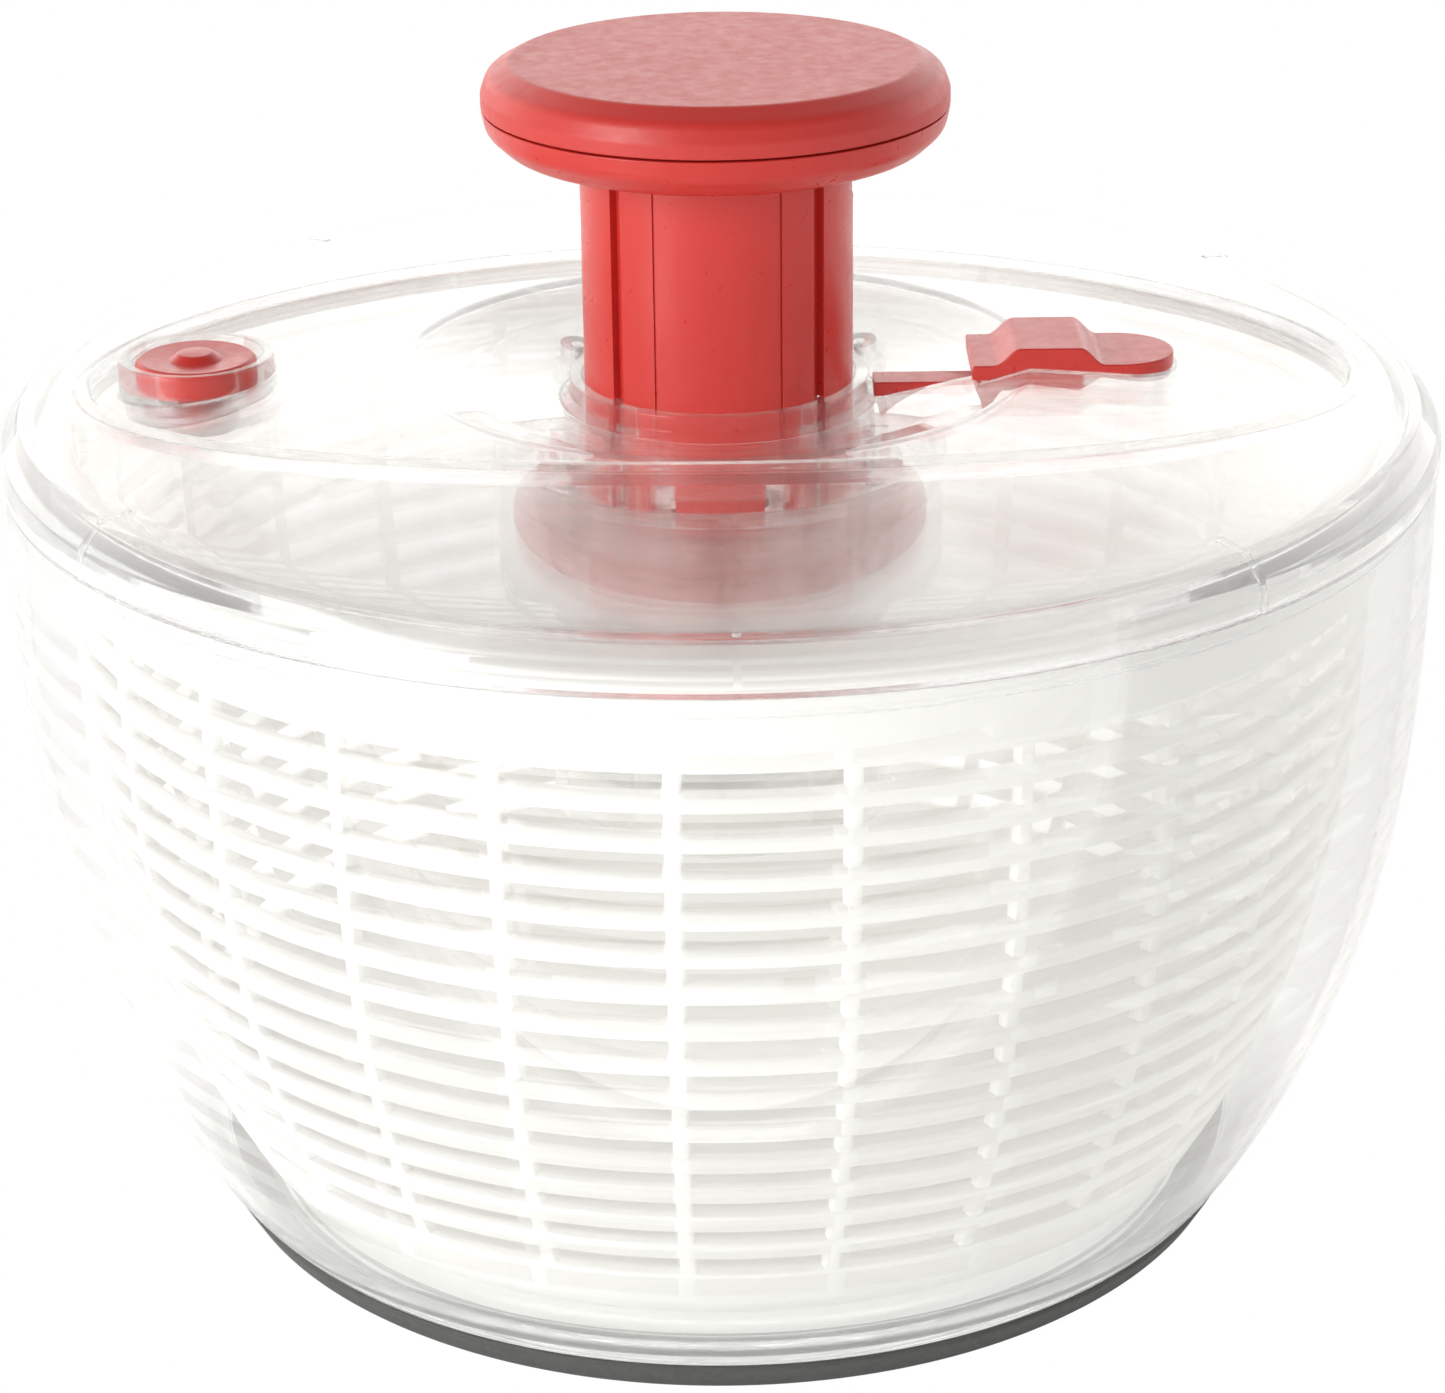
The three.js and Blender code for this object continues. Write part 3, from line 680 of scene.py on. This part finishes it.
def flared(radius, drop, low, high, steps):
    """Outline points of a flared wall, from low to high."""
    heights = [low + (high - low) * (i / steps) for i in range(steps + 1)]
    return [(flare(radius, drop, z), z, 0) for z in heights]


# ------------------------------------------------------------------ bowl and ring


def make_ring():
    outline = rounded([
        (RING_IN, 0.9, 0.5), (RING_FLAT_IN, 0, 0.5), (RING_FLAT_OUT, 0, 0.6), (RING_FLAT_OUT + 1, 0.9, 0.8),
        (RING_R, RING_TOP - 0.8, 0.8), (RING_R - 0.2, RING_TOP, 0.4), (RING_SEAT_R, RING_TOP, 0.2),
        (RING_SEAT_R, RING_SEAT, 0.2), (RING_IN, RING_SEAT, 0.2),
    ])
    ring = new_object("rubber_ring", revolve(outline, FINE))
    finish_piece(ring, RUBBER, "bowl_body", ["base_ring"])


def make_bowl():
    outside = flared(BOWL_R, BOWL_FLARE, BOWL_BOTTOM + 2.5, FLARE_TOP, 36)
    inside = list(reversed(flared(BOWL_R - BOWL_WALL, BOWL_FLARE, BOWL_FLOOR + 5, FLARE_TOP, 36)))
    outline = rounded([
        (0, BOWL_BOTTOM, 0), (FOOT_RIB_IN, BOWL_BOTTOM, 0.2), (FOOT_RIB_IN, FOOT_RIB_BOTTOM, 0.2),
        (FOOT_RIB_OUT, FOOT_RIB_BOTTOM, 0.2), (FOOT_RIB_OUT, BOWL_BOTTOM, 0.2),
        (flare(BOWL_R, BOWL_FLARE, BOWL_BOTTOM) - 0.4, BOWL_BOTTOM, 0.8),
        *outside,
        (BOWL_R, BOWL_TOP, 0.7), (BOWL_R - BOWL_WALL, BOWL_TOP, 0.7),
        *inside,
        (flare(BOWL_R - BOWL_WALL, BOWL_FLARE, BOWL_FLOOR) - 1.5, BOWL_FLOOR, 3.5),
        (6, BOWL_FLOOR, 1.5), (4, PIVOT_TOP - 1, 0.6), (3, PIVOT_TOP, 0.6), (0, PIVOT_TOP, 0),
    ])
    bowl = new_object("clear_bowl", revolve(outline, FINE))
    finish_piece(bowl, CLEAR_BOWL, "bowl_body", ["bowl"])


# ------------------------------------------------------------------ basket


def slat(z):
    """One level bar of the basket wall, with rounded corners, following the wall's slope."""
    outer = flare(BASKET_R, BASKET_FLARE, z)
    half = SLAT_HEIGHT / 2
    lean = (flare(BASKET_R, BASKET_FLARE, z + half) - flare(BASKET_R, BASKET_FLARE, z - half)) / 2
    outline = rounded([
        (outer - BASKET_WALL - lean, z - half, 0.7), (outer - lean, z - half, 1.0),
        (outer + lean, z + half, 1.0), (outer - BASKET_WALL + lean, z + half, 0.7),
    ], 3)
    return revolve(outline, FACETS)


def rib(angle, steps=16):
    """One upright bar, set a little behind the slats' faces."""
    sections = []
    half = RIB_WIDTH / 2
    for i in range(steps + 1):
        z = FOOT_TOP - 2 + (BAND_BOTTOM + 2 - FOOT_TOP + 2) * i / steps
        outer = flare(BASKET_R, BASKET_FLARE, z) - 0.45
        inner = outer - BASKET_WALL + 0.2
        section = [
            (inner, -half), (outer - 0.7, -half), (outer - 0.2, -half + 0.3), (outer, -half + 0.8),
            (outer, half - 0.8), (outer - 0.2, half - 0.3), (outer - 0.7, half), (inner, half),
        ]
        sections.append([
            (x * math.cos(angle) - y * math.sin(angle), x * math.sin(angle) + y * math.cos(angle), z)
            for x, y in section
        ])
    return loft(sections)


def make_basket():
    rim = flared(BASKET_R, BASKET_FLARE, BAND_BOTTOM, FLARE_TOP, 4)
    band = new_object("basket_lattice", revolve(rounded([
        (flare(BASKET_R, BASKET_FLARE, BAND_BOTTOM), BAND_BOTTOM, 0.8),
        (BASKET_R, BAND_BOTTOM + 0.9, 0.4),
        (BASKET_RIM_R, BAND_BOTTOM + 2.4, 1.2),
        (BASKET_RIM_R, BASKET_TOP, 0.9),
        (BASKET_R - BASKET_WALL, BASKET_TOP, 0.9),
        (rim[0][0] - BASKET_WALL, BAND_BOTTOM, 0.8),
    ]), FACETS))
    notch = block((114.6, 121.2), (-4.5, 4.5), (138.6, 147))
    cut(band, *[turned(notch, angle) for angle in angles_round(LUGS)])
    corners = [tuple(v.co / MM) for v in band.data.vertices]
    band_part = (corners, [tuple(f.vertices) for f in band.data.polygons])
    bpy.data.objects.remove(band)

    wall_low = flared(BASKET_R, BASKET_FLARE, 17, FOOT_TOP, 5)
    wall_in = list(reversed(flared(BASKET_R - BASKET_WALL, BASKET_FLARE, 19.5, FOOT_TOP, 4)))
    foot = revolve(rounded([
        (0, PIVOT_TOP + GAP, 0), (3.3, PIVOT_TOP + GAP, 0.3), (4.3, PIVOT_TOP - 1 + GAP, 0.3),
        (6.3, 10.2, 0.3), (9.5, 10.2, 0.5), (9.5, 15, 0.8),
        (wall_low[0][0] - 2.5, 15, 1.5),
        *wall_low[:-1],
        (wall_low[-1][0], FOOT_TOP, 0.8),
        (wall_in[0][0], FOOT_TOP, 0.8),
        *wall_in[1:],
        (wall_in[-1][0] - 2, 17.5, 1.2),
        (0, 17.5, 0),
    ]), FACETS)
    slats = [slat(SLAT_TOP_CENTRE - SLAT_PITCH * i) for i in range(SLATS)]
    ribs = [rib(FIRST_RIB + TAU * i / RIBS) for i in range(RIBS)]
    basket = new_object("basket_lattice", merged(band_part, foot, *slats, *ribs))
    finish_piece(basket, WHITE, "basket_body", ["basket_wall", "basket_floor"], 35)


# ------------------------------------------------------------------ lid


def dome(r):
    return DOME_TOP - DOME_FALL * r * r


def oval(angle, grow):
    a, b = OVAL[0] + grow, OVAL[1] + grow
    return a * b / math.hypot(b * math.cos(angle), a * math.sin(angle))


def dish(r):
    """Height of the round dish between the pump and the recess floor."""
    radii, heights = zip(*DISH)
    return float(np.interp(r, radii, heights))


def lid_rings(drop, grow, facets):
    """Rings of the lid's skin from the pump hole out to the shoulder.

    drop lowers the skin and grow moves the oval step outwards, for the underside.
    """
    edge = DISH[2][0]
    rings = []

    def ring(radius_at, height_at):
        points = []
        for k in range(facets):
            angle = TAU * k / facets
            r = radius_at(angle)
            points.append((r * math.cos(angle), r * math.sin(angle), height_at(r) - drop))
        rings.append(points)

    for r in (DISH[0][0], 31, 33.5, 36, 39, 42, 44.5, 46.3, 47.2, 48.5, 51, 54, 56.2, 57.1):
        ring(lambda _, r=r: r, dish)
    floor = lambda r: dome(r) - RECESS
    for r in (57.9, 58.8):
        ring(lambda _, r=r: r, floor)
    inner = -1.0 + grow
    for share in (0.2, 0.4, 0.6, 0.8, 1.0):
        ring(lambda a, s=share: edge + 1.1 + (oval(a, inner) - edge - 1.1) * s, floor)
    step = ((-0.45, 2.93), (-0.15, 2.7), (0, 2.3), (0.1, 1.5), (0.2, 0.7), (0.35, 0.3), (0.65, 0.07))
    for offset, sink in step:
        ring(lambda a, o=offset: oval(a, o + grow), lambda r, s=sink: dome(r) - s)
    for share in (0.0, 0.15, 0.3, 0.45, 0.6, 0.75, 0.9, 1.0):
        ring(lambda a, s=share: oval(a, 1.2 + grow) + (LID_SHOULDER - oval(a, 1.2 + grow)) * s, dome)
    return rings


def rim_rib():
    """A fine rib that stands proud of the lid's rim, from the shoulder down to the lip."""
    half = 0.65
    profile = [
        (122, 155), (122, dome(122) + 0.25), (127.7, dome(127.2) + 0.1), (131.6, 151.9), (132.35, 149.4),
        (132.35, LID_LIP + 0.3), (130, LID_LIP + 0.3), (130, 150),
    ]
    return loft([[(r, y, z) for r, z in profile] for y in (-half, half)])


def make_lid():
    top = lid_rings(0, 0, FINE)
    under = lid_rings(LID_WALL, LID_WALL - 0.2, FINE)
    edge = rounded([
        (LID_SHOULDER, dome(LID_SHOULDER), 0), (127.6, dome(127.3), 2.5), (131.2, 151.7, 2.0),
        (LID_R, 149.4, 1.2), (LID_R, LID_LIP, 0.5),
        (SKIRT_OUT + 0.1, LID_LIP, 0.3), (SKIRT_OUT, SKIRT_BOTTOM, 0.5), (SKIRT_IN, SKIRT_BOTTOM, 0.5),
        (SKIRT_IN, dome(SKIRT_IN) - LID_WALL - 0.6, 1.0), (LID_SHOULDER, dome(LID_SHOULDER) - LID_WALL, 0),
    ])[1:-1]
    angles = [TAU * k / FINE for k in range(FINE)]
    rim = [[(r * math.cos(a), r * math.sin(a), z) for a in angles] for r, z in edge]
    lid = new_object("clear_lid", loft(top + rim + list(reversed(under)), closed=True))
    low, high = 140.0, 175.0
    brake_hole = revolve([(0, low), (14.7, low), (14.7, high), (0, high)], 64, (BRAKE_X, 0))
    lock_hole = prism(lock_outline(LOCK_LEFT + 0.9, LOCK_RIGHT + 0.7, LOCK_HALF + 0.5), low, high)
    latch_way = block((24, LOCK_LEFT + 3), (-4.2, 4.2), (low, high))
    cut(lid, brake_hole, lock_hole, latch_way)
    cut(lid, *[turned(rim_rib(), angle - 90) for angle in RIM_RIBS], operation="UNION")
    post = revolve([(1.2, 148.6), (3.4, 148.6), (3.4, 153.6), (1.2, 153.6)], 32, (SCREW_RING, 0))
    cut(lid, *[turned(post, angle) for angle in angles_round(SCREWS, FIRST_SCREW)], operation="UNION")
    finish_piece(lid, CLEAR_LID, "lid_body", ["lid_cover"], 30)


def lock_outline(left, right, half, steps=20):
    """Square towards the knob and round at the far end, anticlockwise."""
    centre = right - half
    arc = [-math.pi / 2 + math.pi * i / steps for i in range(steps + 1)]
    return [(left, half), (left, -half)] + [(centre + half * math.cos(a), half * math.sin(a)) for a in arc]


# ------------------------------------------------------------------ pump guide


def keys(outer, bottom, top):
    return [turned(block((23.7, outer), (-1.0, 1.0), (bottom, top)), angle) for angle in KEY_ANGLES]


def ears(bottom, top):
    """Ears that carry the screws, with round ends."""
    half = EAR_HALF
    arc = [-math.pi / 2 + math.pi * i / 16 for i in range(17)]
    outline = [(30, half), (30, -half)]
    outline += [(SCREW_RING + half * math.cos(a), half * math.sin(a)) for a in arc]
    return [turned(prism(outline, bottom, top), angle) for angle in angles_round(SCREWS, FIRST_SCREW)]


def screw_holes(bottom, top):
    hole = revolve([(0, bottom), (SCREW_HOLE, bottom), (SCREW_HOLE, top), (0, top)], 24, (SCREW_RING, 0))
    return [turned(hole, angle) for angle in angles_round(SCREWS, FIRST_SCREW)]


def make_sleeve():
    sleeve = new_object("pump_sleeve", revolve(rounded([
        (SPINDLE_HOLE, SLEEVE_BOTTOM, 0.2), (SLEEVE_R, SLEEVE_BOTTOM, 0.8), (SLEEVE_R, SLEEVE_FLANGE, 0.5),
        (FLANGE_R, SLEEVE_FLANGE, 0.4), (FLANGE_R, SLEEVE_TOP, 0.4),
        (SLEEVE_IN, SLEEVE_TOP, 0.3), (SLEEVE_IN, SLEEVE_FLOOR, 0.6), (SPINDLE_HOLE, SLEEVE_FLOOR, 0.2),
    ]), 96))
    cut(sleeve, *keys(26.8, 100, SLEEVE_TOP), *ears(SLEEVE_FLANGE, SLEEVE_TOP), operation="UNION")
    window = block((-WINDOW_HALF, WINDOW_HALF), (-30, -20), (WINDOW_BOTTOM, WINDOW_TOP))
    cut(sleeve, window, *screw_holes(143, 148))
    finish_piece(sleeve, CLEAR_GUIDE, "lid_body", ["guide_sleeve"], 30)


def make_collar():
    collar = new_object("pump_collar", revolve(rounded([
        (COLLAR_IN, COLLAR_BOTTOM, 0.2), (FLANGE_R, COLLAR_BOTTOM, 0.3), (FLANGE_R, COLLAR_FLANGE, 0.3),
        (COLLAR_R, COLLAR_FLANGE, 0.3), (COLLAR_R, 152.5, 0.6), (COLLAR_NECK, 153.6, 0.5),
        (COLLAR_NECK, COLLAR_TOP, 0.5), (COLLAR_IN, COLLAR_TOP, 0.4),
    ]), 128))
    added = keys(26.0, COLLAR_BOTTOM, COLLAR_TOP) + ears(COLLAR_BOTTOM, COLLAR_FLANGE)
    cut(collar, *added, operation="UNION")
    latch_way = block((20, 32), (-4, 4), (LATCH_LOW, LATCH_HIGH))
    cut(collar, latch_way, *screw_holes(145, 150))
    finish_piece(collar, CLEAR_GUIDE, "lid_body", ["guide_collar"], 30)


# ------------------------------------------------------------------ turntable


def make_turntable():
    plate = new_object("turntable_plate", revolve(rounded([
        (SHAFT_HOLE, CUP_BOTTOM, 0.2), (CUP_R, CUP_BOTTOM, 1.0), (CUP_R, DRUM_BOTTOM, 1.0),
        (DRUM_R, DRUM_BOTTOM, 4.0), (DRUM_R, PLATE_BOTTOM, 1.0), (PLATE_R, PLATE_BOTTOM, 0.5),
        (PLATE_R, PLATE_TOP, 0.5), (DRUM_IN, PLATE_TOP, 1.0), (DRUM_IN, DRUM_FLOOR, 3.0),
        (CUP_IN, DRUM_FLOOR, 0.8), (CUP_IN, CUP_FLOOR, 0.6), (SHAFT_HOLE, CUP_FLOOR, 0.2),
    ]), FACETS))
    lug = block((113, 120.6), (-4, 4), (PLATE_BOTTOM, PLATE_TOP))
    cut(plate, *[turned(lug, angle) for angle in angles_round(LUGS)], operation="UNION")
    finish_piece(plate, CLEAR_GUIDE, "turntable_body", ["turntable"], 30)


# ------------------------------------------------------------------ pump


def make_knob():
    cap = revolve(rounded([
        (0, KNOB_TOP, 0), (37.0, KNOB_TOP, 2.2), (41.0, KNOB_TOP - 2.2, 3.5), (KNOB_R, KNOB_TOP - 5.4, 3.0),
        (KNOB_R, KNOB_SEAM + 0.35, 0.35), (KNOB_R - 2.4, KNOB_SEAM + 0.35, 0.2),
        (KNOB_R - 2.6, KNOB_TOP - 5, 1.5),
        (36, KNOB_TOP - 2.4, 2.0), (0, KNOB_TOP - 2.4, 0),
    ], 8), FINE)
    finish_piece(new_object("knob_top", cap), RED_KNOB, "plunger_body", ["knob_cap"])


def make_tube():
    tube = new_object("pump_tube", revolve(rounded([
        (TUBE_IN, TUBE_LEG, 0.3), (TUBE_R, TUBE_LEG, 0.3), (TUBE_R, KNOB_UNDER + 0.6, 1.5),
        (29.5, KNOB_UNDER, 1.5), (37.5, KNOB_UNDER + 1.4, 6), (41.4, KNOB_UNDER + 5.0, 4),
        (KNOB_R, KNOB_SEAM, 0.3), (KNOB_R - 2.6, KNOB_SEAM, 0.3), (37.2, KNOB_UNDER + 5, 1.5),
        (32, TUBE_WEB + 2.2, 1.0), (7.8, TUBE_WEB + 2.2, 0.2), (7.8, TUBE_WEB, 0.2),
        (TUBE_IN, TUBE_WEB, 0.4),
    ], 6), FACETS))
    groove = block((23.2, 26), (-1.3, 1.3), (BELOW_TUBE, TUBE_WEB - 2.2))
    seam = block((24.45, 26), (-0.22, 0.22), (BELOW_TUBE, TUBE_WEB - 1.4))
    cut(tube, *[turned(groove, angle) for angle in KEY_ANGLES])
    cut(tube, *[turned(seam, angle) for angle in front_and_back(SEAM_FROM_FRONT)])
    cut(tube, *[leg_gap(angle, WIDE_GAP) for angle in front_and_back(WIDE_GAP_AT)])
    cut(tube, *[leg_gap(angle, THIN_GAP) for angle in front_and_back(THIN_GAP_AT)])
    cut(tube, *[side_trim(side) for side in (0, 180)])
    for rise in (0, TRAVEL):
        cut(tube, block((20, 26), (-4.2, 4.2), (LATCH_LOW + rise, LATCH_HIGH + rise)))
    finish_piece(tube, RED, "plunger_body", ["plunger_tube"], 35)


def leg_gap(angle, width):
    """Cutter for the open space between two of the tube's legs, with a rounded top."""
    half = math.radians(width / 2) * TUBE_R
    top = LEG_TOP
    arc = [math.pi / 2 * i / 12 for i in range(13)]
    corner = 1.0
    flat = half - corner
    start = top - corner
    outline = [(-half, BELOW_TUBE), (half, BELOW_TUBE)]
    outline += [(flat + corner * math.cos(a), start + corner * math.sin(a)) for a in arc]
    outline += [(-flat - corner * math.sin(a), start + corner * math.cos(a)) for a in arc]
    cutter = loft([[(x, y, z) for y, z in outline] for x in (18, 28)])
    return turned(cutter, angle)


def side_trim(angle):
    """Cutter that shortens the tube's two side walls by the height of the front leg's tip."""
    section = ((18, BELOW_TUBE), (28, BELOW_TUBE), (28, TUBE_BOTTOM), (18, TUBE_BOTTOM))
    directions = [math.radians(angle + a) for a in np.linspace(-60, 60, 25)]
    return loft([[(r * math.cos(a), r * math.sin(a), z) for r, z in section] for a in directions])


def make_post():
    post = revolve(rounded([
        (6, 146, 0.3), (7.5, 146, 0.5), (7.5, 202, 0.8), (13, 202, 0.4), (13, 204, 0.4),
        (5, 204, 0.3), (5, 154, 0.2), (6, 154, 0.2),
    ]), 64)
    finish_piece(new_object("drive_column", post), GEAR, "plunger_body", ["drive_post"])


def spiral(name, radius, wire, turns, bottom, top, centre=(0, 0)):
    """A steel coil with its end turns closed, as a mesh of round wire."""
    steps = int(turns * 40)
    sides = 12
    sections = []
    for i in range(steps + 1):
        t = i / steps
        angle = TAU * turns * t
        rise = t + 0.06 * math.sin(TAU * t) / TAU * -4
        z = bottom + wire + (top - bottom - 2 * wire) * min(max(rise, 0), 1)
        outward = Vector((math.cos(angle), math.sin(angle), 0))
        middle = Vector((centre[0], centre[1], z)) + outward * radius
        sections.append([tuple(middle + outward * (wire * math.cos(b)) + Vector((0, 0, wire * math.sin(b))))
                         for b in (TAU * k / sides for k in range(sides))])
    return new_object(name, loft(sections))


def make_springs():
    low, high = extent("return_spring")
    spring = spiral("pump_spring", 17, 0.9, 11, low.z, high.z)
    finish_piece(spring, SPRING_STEEL, "lid_body", ["return_spring"])
    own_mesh(spring)
    low, high = extent("brake_spring")
    small = spiral("button_spring", 7, 0.45, 4, low.z, high.z, (BRAKE_X, 0))
    finish_piece(small, SPRING_STEEL, "lid_body", ["brake_spring"])
    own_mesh(small)


# ------------------------------------------------------------------ brake


def make_brake():
    centre = (BRAKE_X, 0)
    well = revolve(rounded([
        (WELL_HOLE, WELL_BOTTOM, 0.2), (WELL_FLANGE_R, WELL_BOTTOM, 0.4), (WELL_FLANGE_R, WELL_FLOOR, 0.4),
        (WELL_R, WELL_FLOOR, 0.4), (WELL_R, WELL_TOP, 0.5), (WELL_IN, WELL_TOP, 0.4),
        (WELL_IN, WELL_FLOOR, 0.5), (WELL_HOLE, WELL_FLOOR, 0.2),
    ]), 96, centre)
    finish_piece(new_object("brake_well", well), CLEAR_GUIDE, "lid_body", ["brake_guide"])
    button = revolve(rounded([
        (0, BUTTON_TOP, 0), (3.2, 161.4, 1.2), (4.4, 160.5, 0.5), (5.0, 160.1, 0.4), (10.4, 160.5, 0.9),
        (BUTTON_R, 159.6, 0.8), (BUTTON_R, BUTTON_SKIRT_BOTTOM, 0.3),
        (BUTTON_SKIRT, BUTTON_SKIRT_BOTTOM, 0.3), (BUTTON_SKIRT, 158.6, 0.5),
        (BUTTON_STEM, 158.6, 0.3), (BUTTON_STEM, PAD_TOP + GAP, 0.2),
        (BUTTON_PEG, PAD_TOP + GAP, 0.1), (BUTTON_PEG, BUTTON_BOTTOM, 0.3), (0, BUTTON_BOTTOM, 0),
    ]), 96, centre)
    finish_piece(new_object("brake_cap", button), RED, "brake_body", ["brake_button"])
    pad = revolve(rounded([
        (0, PAD_BOTTOM, 0), (7, PAD_BOTTOM, 0.5), (PAD_R, 145.9, 0.5), (PAD_R, PAD_TOP, 0.5),
        (BUTTON_PEG + GAP, PAD_TOP, 0.2), (BUTTON_PEG + GAP, BUTTON_BOTTOM - GAP, 0.1),
        (0, BUTTON_BOTTOM - GAP, 0),
    ]), 48, centre)
    finish_piece(new_object("brake_shoe", pad), RUBBER, "brake_body", ["brake_pad"])


# ------------------------------------------------------------------ knob lock


def ramp(start, end, steps=8):
    """Points of a smooth S-shaped slope between two (x, z) points."""
    points = []
    for i in range(steps + 1):
        t = i / steps
        ease = t * t * (3 - 2 * t)
        points.append((start[0] + (end[0] - start[0]) * t, start[1] + (end[1] - start[1]) * ease))
    return points


def slider_side():
    """The slider's side outline, with the raised grip, drawn out across its width."""
    high = LOCK_TOP + 0.7
    outline = [(LOCK_LEFT, LOCK_BOTTOM), (LOCK_RIGHT, LOCK_BOTTOM), (LOCK_RIGHT, high)]
    outline += ramp((70.6, high), (66.0, GRIP_TOP)) + ramp((55.0, GRIP_TOP), (50.2, high))
    outline.append((LOCK_LEFT, high))
    return loft([[(x, y, z) for x, z in outline] for y in (-LOCK_HALF - 1, LOCK_HALF + 1)])


def make_lock():
    slider = new_object("lock_button", slider_side())
    cut(slider, prism(lock_outline(LOCK_LEFT, LOCK_RIGHT, LOCK_HALF), 150, 170), operation="INTERSECT")
    peg = block((PEG_LEFT, PEG_RIGHT), (-PEG_HALF, PEG_HALF), (152.5, 158.2))
    cut(slider, peg, operation="UNION")
    soften(slider, 0.35, 3, 40)
    finish_piece(slider, RED, "lock_body", ["lock_slider"], 50)
    one_side = [
        (BOLT_TIP, BOLT_HALF), (BOLT_NECK, BOLT_HALF),
        (BOLT_NECK, BOLT_HEAD_HALF), (BOLT_END, BOLT_HEAD_HALF),
    ]
    outline = [(x, -y) for x, y in one_side] + list(reversed(one_side))
    latch = new_object("lock_bolt", prism(outline, BOLT_BOTTOM, BOLT_TOP))
    slot_half = PEG_HALF + GAP
    cut(latch, block((PEG_LEFT - GAP, PEG_RIGHT + GAP), (-slot_half, slot_half), (150, 157)))
    soften(latch, 0.3)
    finish_piece(latch, RED, "lock_body", ["lock_latch"], 50)
    guide = new_object("lock_tray", block((46, 92), (-TRAY_HALF, TRAY_HALF), (TRAY_BOTTOM, TRAY_FLOOR)))
    walls = prism(lock_outline(LOCK_LEFT + 1.5, LOCK_RIGHT + 0.4, LOCK_HALF + 0.2), 151, TRAY_TOP)
    cut(guide, walls, operation="UNION")
    room = prism(lock_outline(LOCK_LEFT + 3, LOCK_RIGHT - 1.1, LOCK_HALF - 1.3), TRAY_FLOOR, 160)
    cut(guide, room, block((44, 52), (-4, 4), (TRAY_FLOOR, LATCH_HIGH)))
    soften(guide, 0.25)
    finish_piece(guide, CLEAR_GUIDE, "lid_body", ["lock_guide"], 40)


# ------------------------------------------------------------------ pieces whose CAD shape is kept


def dress_cad():
    finishes = {
        "spindle": STEEL, "spindle_washer": STEEL, "spindle_screw": STEEL,
        "ratchet_ring": GEAR, "pawl_wheel": GEAR, "drive_nut": GEAR,
    }
    for i in range(SCREWS):
        finishes[f"lid_screw_{i + 1}"] = STEEL
    for node, finish in finishes.items():
        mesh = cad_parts[node].data
        mesh.materials.clear()
        mesh.materials.append(finish)


# ------------------------------------------------------------------ build

# The clear walls lie many deep, so light needs more bounces than usual to come through them.
bpy.context.scene.view_settings.view_transform = "Standard"
bpy.context.scene.cycles.max_bounces = LIGHT_BOUNCES
bpy.context.scene.cycles.transmission_bounces = LIGHT_BOUNCES
bpy.context.scene.cycles.transparent_max_bounces = CLEAR_LAYERS
add_camera()
add_world()
add_softbox("key", KEY_PLACE, KEY_AIM, KEY_SIZE, KEY_POWER)
add_floor()
make_ring()
make_bowl()
make_basket()
make_lid()
make_sleeve()
make_collar()
make_turntable()
make_knob()
make_tube()
make_post()
make_springs()
make_brake()
make_lock()
dress_cad()
